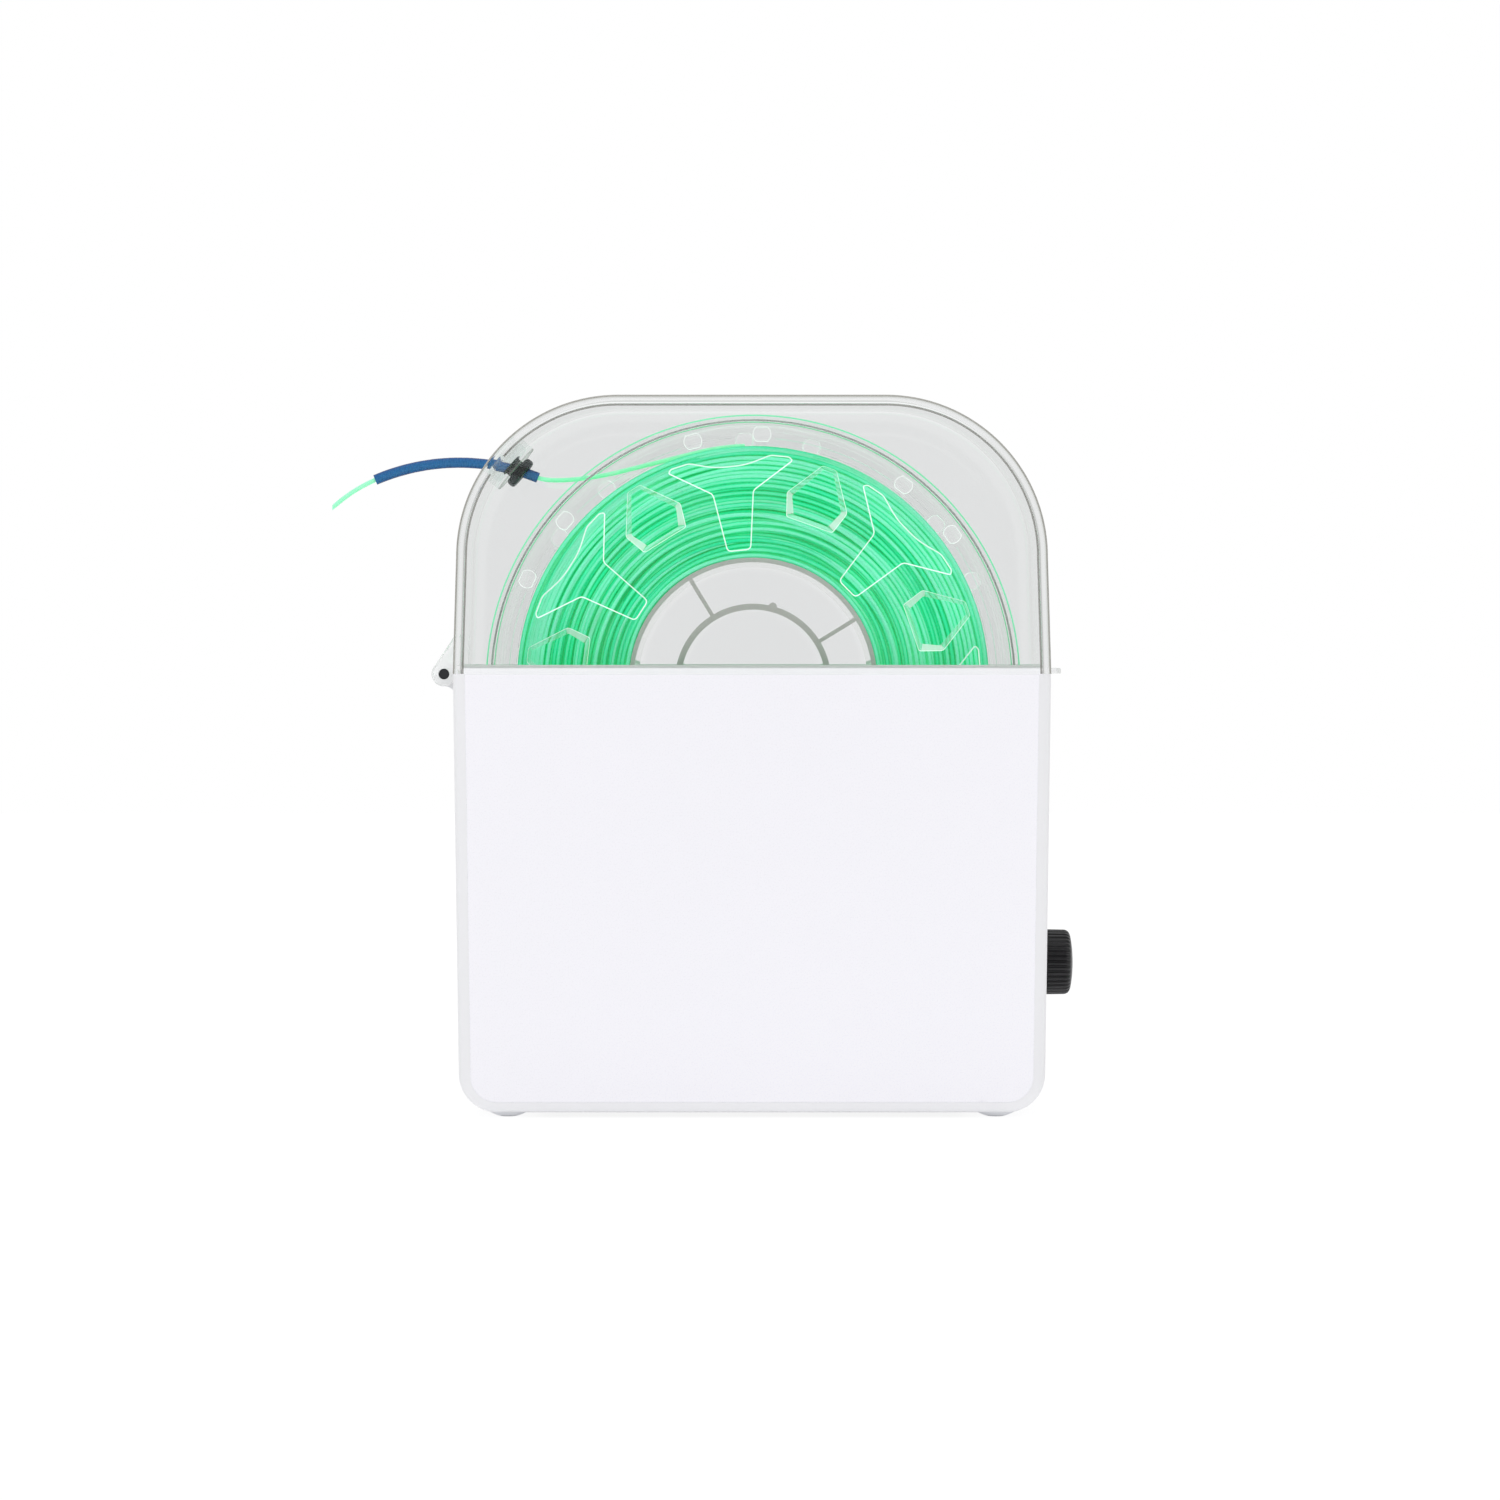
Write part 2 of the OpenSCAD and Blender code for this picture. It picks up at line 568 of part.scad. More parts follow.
// the paths below list [x, y, z]
large_block_x = board_x - 7.1;           // lead ends at the two terminal blocks
small_block_x = board_x - 5.1;
terminal_x = heat_x - 27.8;
power_path = [[-wall_x + 13.05, jack_y, jack_z], [-89, 26, 22], [-86, 20, 10], [-80, 13, 7],
    [80, 13, 7], [84, 13, 14], [84, 13, 39], [large_block_x, 13, 39]];
heater_path_rear = [[terminal_x, 9, 33.95], [terminal_x, 9, 26], [-2, 18, 18.9], [-6, 25, 18.9],
    [-6, 35.6, 18.9], [-2, 35.6, 12], [8, 35.6, 6.6], [58, 35.6, 6.6], [64.5, 26, 6.6],
    [81.6, 24, 6.6], [82.4, 18.4, 18], [83, 18.4, 38], [large_block_x, 18.4, 38]];
heater_path_front = [[terminal_x, -9, 33.95], [terminal_x, -9, 26], [-2, 6, 21.1], [-6, 25, 21.1],
    [-6, 38, 21.1], [-2, 38, 12], [8, 38, 6.6], [60, 38, 6.6], [66, 29, 6.6],
    [84, 27, 6.6], [84, 21.6, 18], [84, 21.6, 38], [large_block_x, 21.6, 38]];
fan_path = [[fan_x - 29.05, -20, 38], [-64, -20, 38], [-66, -20, 30], [-66, -24, 9],
    [-60, -37.5, 6.6], [60, -37.5, 6.6], [66, -26, 6.6], [85, -24, 7], [87, -17, 20],
    [87, -17, 38.5], [small_block_x, -17, 38.5]];
sensor_path = [[-105.5, 0, 103.95], [-105.5, 0, 90], [-104.6, 0, 60], [-104.6, 0, 40],
    [-98, -4, 14], [-84, -5, 7], [80, -5, 7], [86, -5, 12], [86, -6, 44],
    [board_x - 0.05, -6, 44]];

module power_lead() color("black") lead(power_path, r = 1.5);
module heater_lead() color("firebrick") {
    lead(heater_path_rear, r = 0.9);
    lead(heater_path_front, r = 0.9);
}
module fan_lead() color("gray") lead(fan_path, r = 0.9);
module sensor_lead() color("gray") lead(sensor_path, r = 0.7);

module humidity_sensor() color("white") translate([-wall_x, 0, 0]) difference() {
    box([-1.2, 6], about(0, 10), [104, 122]);
    // hollow, less the sensing board and its chip
    difference() {
        box([-2, 4.4], about(0, 8.4), [105.6, 120.4]);
        box([-0.2, 1], about(0, 9), [105, 121]);
        box([0.5, 2], about(0, 2.5), [111, 115]);
    }
    for (z = [107:2.6:118]) box([3, 8], about(0, 6), [z, z + 1.3]);
}

module hinge_pin() color("#454547") cyl_y(hinge_x, hinge_z, pin_r, about(0, hinge_half - 1.2));

module rim_seal() color("lightgray") difference() {
    inset = tongue_w - 0.5;
    plate(rounded(tongue_x + 0.12, tongue_y + 0.2, 1.7),
        [seam_z + tongue_h + 0.02, seam_z + tongue_h + 1]);
    plate(rounded(tongue_x - inset, tongue_y - inset, 1), [seam_z, seam_z + 9]);
}

// ---------- rollers ----------
module at_axle(side) translate([spool_x + side * roller_dx, 0, roller_z]) children();
module at_rollers(side) at_axle(side) for (t = [-1, 1])
    translate([0, t * roller_y, 0]) children();

module roller_axle(side) color("silver") at_axle(side) difference() {
    cyl_y(0, 0, axle_r, about(0, 44.6));
    // clip grooves
    for (t = [-1, 1]) difference() {
        cyl_y(0, 0, axle_r + 1, about(t * clip_y, 0.35));
        cyl_y(0, 0, axle_r - 0.4, about(t * clip_y, 0.6));
    }
}
module roller_pair(side) color("#303033") at_rollers(side) difference() {
    rotate([90, 0, 0]) rotate_extrude($fn = 96) polygon([[6.9, -5], [roller_r - 0.6, -5],
        [roller_r, -4.4], [roller_r, 4.4], [roller_r - 0.6, 5], [6.9, 5]]);
    cyl_y(0, 0, bear_r + 0.02, [-2.55, 5.55]);
}
module bearing_race(r, width) rotate([90, 0, 0]) rotate_extrude($fn = 96) difference() {
    translate([r, -2.5]) square([width, 5]);
    translate([ball_path_r, 0]) circle(r = 1.42, $fn = 48);
}
module outer_races(side) color("lightsteelblue") at_rollers(side)
    bearing_race(6.4, bear_r - 6.4);
module bearing_inner_races() color("lightsteelblue") for (side = [-1, 1]) at_rollers(side)
    bearing_race(axle_r + 0.01, 4.2 - axle_r);
module bearing_balls() color("silver") for (side = [-1, 1]) at_rollers(side) for (i = [0:7])
    rotate([0, i * 45 + 22.5, 0]) translate([ball_path_r, 0, 0]) sphere(r = 1.38, $fn = 32);
module axle_spacers() color("gainsboro") for (side = [-1, 1]) at_axle(side) difference() {
    union() {
        cyl_y(0, 0, 3.9, about(0, roller_y - 2.6));
        for (t = [-1, 1]) cyl_y(0, 0, 3.9, span(t, roller_y + 2.6, 38.4));
    }
    cyl_y(0, 0, axle_r + 0.05, about(0, 50));
}
module axle_clips() color("dimgray") for (side = [-1, 1], t = [-1, 1]) at_axle(side) difference() {
    cyl_y(0, 0, 4.6, about(t * clip_y, 0.25));
    cyl_y(0, 0, axle_r - 0.35, about(t * clip_y, 1));
    box(about(0, 1.6), about(t * clip_y, 1), [-8, 0]);
}

// ---------- lid ----------
// rounded edge of the broad faces: inset from the outline, setback from the face
lid_edge = [[0, 1.6], [0.45, 0.45], [1.6, 0]];
module lid_outer() hull() for (step = lid_edge)
    xz(lid_d - 2 * step[1], lid_outline(step[0], seam_z + lid_gap));
module lid_inner() hull() for (step = [[0, 0.8], [0.8, 0]])
    xz(lid_d - 2 * lid_wall - 2 * step[1], lid_outline(lid_wall + step[0], seam_z - 6));
module lid_arm(side) hull() {
    ys = span(side, knuckle + knuckle_gap, hinge_half);
    cyl_y(hinge_x, hinge_z, barrel_r, ys, 32);
    box([-half_top - 0.05, -half_top + 0.5], ys, [seam_z + lid_gap, seam_z + 0.6]);
    box([-half_top + 0.4, -half_top + 1.8], ys, [seam_z + 15, seam_z + 16]);
}
// finger tab on the control side
module lid_tab() {
    root_x = half_top - 1.5;
    tip_x = half_top + 4.4;
    plate(concat([[root_x, -15], [tip_x, -15]], arc(tip_x, -14, 1, 270, 360, 4),
        arc(tip_x, 14, 1, 0, 90, 4), [[root_x, 15]]), [seam_z + lid_gap, seam_z + lid_gap + 2.1]);
}
module lid_shell() color([0.85, 0.86, 0.86, 0.35]) difference() {
    union() {
        difference() {
            lid_outer();
            lid_inner();
        }
        for (side = [-1, 1]) lid_arm(side);
        lid_tab();
        // cup of the feed port
        port_cyl(10.3, [lid_r - 8.4, lid_r - 0.8]);
    }
    port_cyl(8.5, [lid_r - 6.2, lid_r + 10]);
    port_cyl(5.1, [lid_r - 12, lid_r]);
    // shallow step on both broad faces
    for (side = [-1, 1])
        translate([0, side * (lid_d / 2 + 1 - 0.35), 0]) xz(2, lid_outline(11.5, seam_z + 12));
    // room for the housing's hinge barrel, and the pin hole
    cyl_y(hinge_x, hinge_z, barrel_r + 0.4, about(0, knuckle + knuckle_gap));
    cyl_y(hinge_x, hinge_z, pin_r + 0.08, about(0, 60));
}

// ---------- feed path in the XZ plane ----------
bend_r = 81.9;                           // the guide tube is one arc of this radius
bend_c = [-112.7, 164.5];
bend_in = 21.8;                          // its ends, in degrees from straight up towards +X
bend_out = -23.2;
tail_r = 57.3;                           // tighter arc of the free end of the filament
tail_turn = 19.4;
lead_r = wind_r + fil_d / 2 + 0.05;
lead_a = 14;                             // where the filament leaves the winding, left of top
// direction at an angle from straight up towards +X
function from_up(a) = [sin(a), cos(a)];
function bend(a) = bend_c + bend_r * from_up(a);
// cubic curve from p0 to p1 with end slopes d0 and d1
function ease(p0, d0, p1, d1, t) = p0 * (2 * t ^ 3 - 3 * t ^ 2 + 1) + d0 * (t ^ 3 - 2 * t ^ 2 + t)
    + p1 * (3 * t ^ 2 - 2 * t ^ 3) + d1 * (t ^ 3 - t ^ 2);
lead_dir = [-cos(lead_a), -sin(lead_a)];
bend_dir = [-cos(bend_in), sin(bend_in)];
lead_start = [spool_x, spool_z] + lead_r * from_up(-lead_a);
lead_end = lead_start + 31 * lead_dir;
tail_c = bend(bend_out) - tail_r * from_up(bend_out);
feed_path = concat(
    [lead_start, (lead_start + lead_end) / 2],
    [for (i = [0:10]) ease(lead_end, 20 * lead_dir, bend(bend_in), 20 * bend_dir, i / 10)],
    [for (i = [1:16]) bend(bend_in + (bend_out - bend_in) * i / 16)],
    [for (i = [1:6]) tail_c + tail_r * from_up(bend_out - tail_turn * i / 6)]);

// round bar along the bend between two angles
module bent(r, from, to)
    translate([bend_c[0], 0, bend_c[1]]) rotate([90, 0, 0]) rotate([0, 0, 90 - from])
        rotate_extrude(angle = from - to, $fn = 180) translate([bend_r, 0]) circle(r = r, $fn = 48);

module feed_tube() color("#2f5f95") difference() {
    bent(tube_od / 2, bend_in, bend_out);
    bent(tube_id / 2, bend_in + 2, bend_out - 2);
}
module filament_lead() color("#9df0bd") sweep([for (p = feed_path) [p[0], 0, p[1]]], fil_d / 2, 16);
module port_grommet() color("#202422") difference() {
    union() {
        port_cyl(6.2, [lid_r - 11.8, lid_r - 8.45]);
        port_cyl(5.05, [lid_r - 9, lid_r - 5.6]);
        port_cyl(6, [lid_r - 6.15, lid_r - 5.1]);
    }
    bent(tube_od / 2 + 0.1, bend_in, 8);
}

// ---------- spool ----------
hub_r = spool_bore + 2.3;                // outside of the hub ring
windows_each = 7;
// window outlines from the +X half, with Y pointing out from the axis
function with_mirror(half) =
    concat(half, [for (i = [len(half) - 1:-1:0]) [-half[i][0], half[i][1]]]);
wide_window = with_mirror([[4.2, 50.4], [7.5, 72.4], [23.4, 82], [22.4, 83.2], [15.5, 84.6],
    [8.3, 82.6], [3, 81.9]]);
house_window = with_mirror([[9.1, 63.4], [12, 72], [2.7, 86]]);

// wide-armed and house-shaped windows, with a pair of flat-sided holes by each wide one
module windows() for (i = [0:windows_each - 1]) rotate(i * 360 / windows_each) {
    rotate(6) {
        polygon(wide_window);
        for (a = [-8.05, 8.05]) rotate(a) translate([0, 94]) intersection() {
            circle(r = 3.3, $fn = 32);
            square([8, 5.2], center = true);
        }
    }
    rotate(-19.7) polygon(house_window);
}

module at_spokes() for (a = [0:90:270])
    rotate([0, 0, a - 58.5]) translate([spool_bore + 1, -0.75]) children();
spoke = [core_r - spool_bore - 2, 1.5];  // length and thickness

// radius, and distance from the middle of the spool
flange_profile = [[spool_bore, flange_in], [98.6, flange_in], [99.4, flange_in - 1],
    [spool_r, flange_in - 1], [spool_r, spool_half_w - 0.5], [spool_r - 0.5, spool_half_w],
    [spool_bore, spool_half_w]];
barrel_profile = [[core_r - 3.1, 0.01], [core_r, 0.01], [core_r, spool_half_w - 1],
    [core_r - barrel_t, spool_half_w - 1]];
hub_profile = [[spool_bore, 0.01], [hub_r, 0.01], [hub_r, spool_half_w - 1],
    [spool_bore, spool_half_w - 1]];

module at_spool() translate([spool_x, 0, spool_z]) rotate([90, 0, 0]) children();
module spool_half(side) color([0.88, 0.93, 0.9, 0.35]) at_spool()
    mirror([0, 0, side > 0 ? 1 : 0]) difference() {
        union() {
            rotate_extrude($fn = 180) polygon(flange_profile);
            rotate_extrude($fn = 128) polygon(barrel_profile);
            rotate_extrude($fn = 128) polygon(hub_profile);
            at_spokes() translate([0, 0, 0.01]) cube([spoke[0], spoke[1], spool_half_w - 1]);
        }
        // openings between hub and barrel
        translate([0, 0, flange_in - 1]) linear_extrude(flange_t + 2) difference() {
            circle(r = core_r - barrel_t, $fn = 128);
            circle(r = hub_r, $fn = 128);
            at_spokes() square(spoke);
        }
        mirror([side > 0 ? 1 : 0, 0, 0]) translate([0, 0, flange_in - 2])
            linear_extrude(flange_t + 4) windows();
    }

module filament_winding() color("#4fe59c") at_spool() {
    inner_r = core_r + 0.02;
    end = flange_in - 1.1;
    rotate_extrude($fn = 180) polygon([[inner_r, -end], [wind_r - 1, -end], [wind_r, -end + 1],
        [wind_r, end - 1], [wind_r - 1, end], [inner_r, end]]);
}

body_shell();
side_panel(-1);  // side_panel_front
side_panel(1);  // side_panel_rear
base_cover();
cover_screws();
rubber_feet();
chamber_floor();
floor_screws();
bay_cover();
air_duct();
duct_screws();
fan_frame();
fan_rotor();
fan_screws();
ptc_heater();
heater_terminals();
control_board();
board_screws();
display_module();
display_window();
encoder_body();
encoder_nut();
encoder_plunger();
encoder_shaft();
control_knob();
dc_jack();
power_lead();
heater_lead();
fan_lead();
sensor_lead();
humidity_sensor();
hinge_pin();
rim_seal();
roller_axle(-1);  // roller_axle_left
roller_axle(1);  // roller_axle_right
roller_pair(-1);  // roller_left
roller_pair(1);  // roller_right
outer_races(-1);  // bearing_outer_left
outer_races(1);  // bearing_outer_right
bearing_inner_races();
bearing_balls();
axle_spacers();
axle_clips();
lid_shell();
port_grommet();
feed_tube();
filament_lead();
spool_half(-1);  // spool_half_front
spool_half(1);  // spool_half_rear
filament_winding();
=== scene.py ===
"""Looks of a filament dryer box: mesh pieces, procedural materials, light and camera.

The box stands on its feet at z = 0, with its width along X, its depth along Y (front at -Y) and
Z up. Window and knob are on the +X end, the hinge and feed port towards -X. The spool's axis
runs along Y. Shapes are worked out in mm and turned into metres when a mesh is built.
"""

import bpy
import bmesh
import math
import random
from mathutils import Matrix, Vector


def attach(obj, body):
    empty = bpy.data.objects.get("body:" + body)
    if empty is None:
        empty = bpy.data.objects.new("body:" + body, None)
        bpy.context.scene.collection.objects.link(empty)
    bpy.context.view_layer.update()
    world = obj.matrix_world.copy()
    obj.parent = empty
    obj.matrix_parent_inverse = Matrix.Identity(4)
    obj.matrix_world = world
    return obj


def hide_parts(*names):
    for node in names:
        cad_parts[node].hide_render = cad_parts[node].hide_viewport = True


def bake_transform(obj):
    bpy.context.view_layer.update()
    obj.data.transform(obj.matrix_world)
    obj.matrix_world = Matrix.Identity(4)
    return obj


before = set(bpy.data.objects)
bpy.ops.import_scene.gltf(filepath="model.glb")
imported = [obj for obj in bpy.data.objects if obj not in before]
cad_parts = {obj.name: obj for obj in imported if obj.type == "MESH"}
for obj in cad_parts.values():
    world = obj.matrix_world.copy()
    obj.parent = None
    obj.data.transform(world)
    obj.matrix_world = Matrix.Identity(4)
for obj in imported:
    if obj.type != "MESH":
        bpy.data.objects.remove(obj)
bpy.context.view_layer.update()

MM = 0.001
scene = bpy.context.scene

# ------------------------------------------------------------------ shared dimensions, in mm
# housing: half widths at the seam and at the base; the end walls lean between them
HALF_W_TOP, HALF_W_BASE, HALF_D = 112.8, 110.6, 50.0
CORNER_R, SEAM_Z, WALL, RIM = 14.5, 165.2, 2.8, 4.6
BASE_SHARE = 0.87  # inset of the underside as a share of the inset of the ends
FOOT_X, FOOT_Y = 92.2, 36
COLUMN_X, COLUMN_Y = 75, 35
# lid: half width at the shoulders, where the corner arcs start
LID_HALF_D, LID_R, LID_WALL, LID_HALF_W, LID_TOP_Z = 48.6, 61.0, 2.5, 111.5, 270.5
LID_LOW_Z = SEAM_Z + 0.1
# tongue that stands up inside the lid
TONGUE_X, TONGUE_Y = HALF_W_TOP - LID_WALL - 0.35, LID_HALF_D - LID_WALL - 0.35
TONGUE_WALL = 2.0
HINGE_X, HINGE_Z, BARREL_R = -116.7, SEAM_Z, 4.7
HINGE_GAP = 0.4
KNUCKLE_HALF = 20
SPOOL_X, SPOOL_Z, SPOOL_R, SPOOL_W = 0.4, 162.2, 101.4, 66.0
FLANGE, CORE_R, BORE_R, WIND_R = 2.6, 47.1, 27.4, 89.7
HUB_R, BARREL_IN_R = BORE_R + 2.3, CORE_R - 1.7
STRAND_R = 0.875
KNOB_Z, WINDOW_Z = 54.3, 92.0
WINDOW_HALF_Y, WINDOW_HALF_Z = 26, 14


def wall_x(z):
    """Outer face of the +X end wall at height z."""
    return HALF_W_BASE + (HALF_W_TOP - HALF_W_BASE) * z / SEAM_Z


KNOB_FACE_X = wall_x(KNOB_Z)
WINDOW_X = wall_x(WINDOW_Z - WINDOW_HALF_Z)
# feed port, square to the lid's -X corner arc
PORT_ANGLE = math.radians(139.5)
PORT_X, PORT_Z = -(LID_HALF_W - LID_R), LID_TOP_Z - LID_R
# arc of the feed tube; angles in degrees from straight up, towards +X
BEND_R, BEND_X, BEND_Z, BEND_IN, BEND_OUT = 81.9, -112.7, 164.5, 21.8, -23.2
# rollers sit 35 degrees either side of straight down from the spool's axis
ROLLER_DISTANCE = SPOOL_R + 10.03
ROLLER_DX = ROLLER_DISTANCE * math.sin(math.radians(35))
ROLLER_Z = SPOOL_Z - ROLLER_DISTANCE * math.cos(math.radians(35))
ROLLER_Y = SPOOL_W / 2 - FLANGE / 2

SIDES = (-1, 1)
CORNERS = [(sx, sy) for sx in SIDES for sy in SIDES]


# ------------------------------------------------------------------ shader helpers
def srgb(*channels):
    """8-bit sRGB to a linear colour with alpha."""
    def linear(c):
        c /= 255.0
        return c / 12.92 if c <= 0.04045 else ((c + 0.055) / 1.055) ** 2.4
    return tuple(linear(c) for c in channels) + (1.0,)


def grey(value):
    return (value, value, value, 1)


def tint(colour, factor):
    return tuple(min(1.0, max(0.0, c * factor)) for c in colour[:3]) + (1.0,)


def new_material(name):
    """Material, its emptied node tree and the surface socket to feed."""
    material = bpy.data.materials.new(name)
    material.use_nodes = True
    tree = material.node_tree
    tree.nodes.clear()
    return material, tree, tree.nodes.new("ShaderNodeOutputMaterial").inputs[0]


def node(tree, kind, inputs=None, **settings):
    """Adds a node; each input is given either a value or a socket to link from."""
    made = tree.nodes.new("ShaderNode" + kind)
    for key, value in settings.items():
        setattr(made, key, value)
    for key, value in (inputs or {}).items():
        if isinstance(value, bpy.types.NodeSocket):
            tree.links.new(value, made.inputs[key])
        else:
            made.inputs[key].default_value = value
    return made


def math_node(tree, operation, *values):
    return node(tree, "Math", dict(enumerate(values)), operation=operation).outputs[0]


def mix_shader(tree, factor, first, second):
    return node(tree, "MixShader", {0: factor, 1: first, 2: second}).outputs[0]


def multiply_colours(tree, first, second, factor):
    mix = node(tree, "Mix", {"Factor": factor, "A": first, "B": second},
               data_type="RGBA", blend_type="MULTIPLY")
    return mix.outputs["Result"]


def noise(tree, scale, detail=3.0, stretch=None):
    where = node(tree, "TexCoord").outputs["Object"]
    if stretch:
        where = node(tree, "Mapping", {"Scale": stretch, "Vector": where}).outputs["Vector"]
    made = node(tree, "TexNoise", {"Scale": scale, "Detail": detail, "Roughness": 0.5,
                                   "Vector": where})
    return made.outputs["Fac"]


def ramp(tree, source, stops):
    made = node(tree, "ValToRGB", {"Fac": source})
    elements = made.color_ramp.elements
    while len(elements) < len(stops):
        elements.new(0.5)
    for i, (position, colour) in enumerate(stops):
        elements[i].position = position
        elements[i].color = colour
    return made.outputs["Color"]


def two_tones(tree, source, first, second):
    return ramp(tree, source, [(0.3, first), (0.7, second)])


def shades(tree, source, colour, low, high):
    """One colour drifting between two brightness factors."""
    return two_tones(tree, source, tint(colour, low), tint(colour, high))


def span(tree, source, to_min, to_max, from_min=0.35, from_max=0.65):
    made = node(tree, "MapRange", {"From Min": from_min, "From Max": from_max, "To Min": to_min,
                                   "To Max": to_max, "Value": source})
    return made.outputs["Result"]


def bump_normal(tree, height, strength, distance):
    made = node(tree, "Bump", {"Strength": strength, "Distance": distance, "Height": height})
    return made.outputs["Normal"]


# ------------------------------------------------------------------ kinds of material
def solid(name, colour, rough=0.4, metal=0.0, vary=0.03, rough_vary=0.06, grain=900.0, bump=0.15,
          bump_dist=0.00005, patch=25.0, stretch=None, coat=0.0, sss=0.0, glow=0.0, under=0.0):
    """Opaque finish: broad tone drift, fine grain in roughness and a small surface bump.

    colour is 8-bit sRGB; patch and grain are the scales of the broad and fine noise;
    vary and rough_vary are the swings of tone and roughness; glow and under add emission as
    painted light, under only on faces that look down.
    """
    base = srgb(*colour)
    material, tree, surface = new_material(name)
    broad = noise(tree, patch, stretch=stretch)
    fine = noise(tree, grain, detail=2.0, stretch=stretch)
    inputs = {
        "Base Color": shades(tree, broad, base, 1 - vary, 1 + vary),
        "Roughness": span(tree, fine, max(0.02, rough - rough_vary), min(1, rough + rough_vary)),
        "Normal": bump_normal(tree, fine, bump, bump_dist),
        "Metallic": metal,
        "IOR": 1.48,
    }
    if coat:
        inputs.update({"Coat Weight": coat, "Coat Roughness": 0.12})
    if sss:
        inputs.update({"Subsurface Weight": sss, "Subsurface Radius": (1.0, 1.0, 1.0),
                       "Subsurface Scale": 0.001})
    if glow:
        inputs.update({"Emission Color": base, "Emission Strength": glow})
    if under:
        # painted bounce light: emission on faces that look down, standing in for light bounced up
        # from the bench
        normal = node(tree, "NewGeometry").outputs["Normal"]
        facing = node(tree, "SeparateXYZ", {0: normal}).outputs["Z"]
        inputs.update({"Emission Color": base,
                       "Emission Strength": span(tree, facing, under, 0.0, -1.0, -0.05)})
    shader = node(tree, "BsdfPrincipled", inputs)
    tree.links.new(shader.outputs[0], surface)
    return material


def clear(name, colour, ior=1.49, rough=0.0, haze=0.0, haze_colour=None, glow=0.0):
    """Clear moulding: refracts for the camera and lets light pass to what is inside.

    haze is the share of a matt haze_colour mixed in, and glow is how much that part emits; on the
    edge materials both are painted light and shade, drawing the dark lines and bright edges seen
    in the clear walls.
    """
    material, tree, surface = new_material(name)
    broad = noise(tree, 12.0, detail=1.0)
    fine = noise(tree, 60.0, detail=1.0)
    body = node(tree, "BsdfGlass", {
        "IOR": ior,
        "Color": shades(tree, broad, colour, 0.996, 1.0),
        "Roughness": span(tree, fine, rough, rough + 0.004),
    }).outputs[0]
    if haze:
        inputs = {"Roughness": 0.45, "Base Color": shades(tree, fine, haze_colour, 0.97, 1.0)}
        if glow:
            inputs.update({"Emission Color": haze_colour, "Emission Strength": glow})
        matt_layer = node(tree, "BsdfPrincipled", inputs).outputs[0]
        body = mix_shader(tree, haze, body, matt_layer)
    through = node(tree, "BsdfTransparent", {"Color": grey(1.0)}).outputs[0]
    path = node(tree, "LightPath").outputs
    passes = math_node(tree, "MAXIMUM", path["Is Shadow Ray"], path["Is Diffuse Ray"])
    seen = mix_shader(tree, passes, body, through)
    # painted light: paths that go deep in the wall end in a soft grey emission, standing in for
    # light trapped there
    trapped = node(tree, "Emission", {"Color": (0.74, 0.75, 0.735, 1)}).outputs[0]
    too_deep = [math_node(tree, "GREATER_THAN", path[depth], limit)
                for depth, limit in (("Glossy Depth", 1.5), ("Transmission Depth", 17.5))]
    fade = math_node(tree, "MAXIMUM", *too_deep)
    tree.links.new(mix_shader(tree, fade, seen, trapped), surface)
    return material


def film(name, colour, line, cover, shine):
    """Thin clear wall seen edge on: a faint sheen and a little of the line colour, a painted
    shade line.

    cover and shine are the shares of the line colour and of the sheen.
    """
    material, tree, surface = new_material(name)
    fine = noise(tree, 300.0, detail=2.0)
    through = node(tree, "BsdfTransparent", {"Color": shades(tree, fine, colour, 0.99, 1.0)})
    sheen = node(tree, "BsdfGlossy", {"Roughness": span(tree, fine, 0.08, 0.14)})
    # painted shade line: a little matt line colour mixed into the clear wall
    matt = node(tree, "BsdfDiffuse", {"Color": shades(tree, fine, line, 0.95, 1.0)})
    shiny = mix_shader(tree, shine, through.outputs[0], sheen.outputs[0])
    tree.links.new(mix_shader(tree, cover, shiny, matt.outputs[0]), surface)
    return material


def smoke():
    """Dark tinted rubber that lets a little of the tube show through."""
    material, tree, surface = new_material("grommet_black")
    fine = noise(tree, 2200.0, detail=2.0)
    rubber = node(tree, "BsdfPrincipled", {
        "Base Color": two_tones(tree, fine, srgb(24, 30, 29), srgb(30, 37, 35)),
        "Roughness": span(tree, fine, 0.28, 0.42),
    })
    through = node(tree, "BsdfTransparent", {"Color": (0.55, 0.6, 0.62, 1)})
    see_through = 0.3
    mixed = mix_shader(tree, see_through, rubber.outputs[0], through.outputs[0])
    tree.links.new(mixed, surface)
    return material


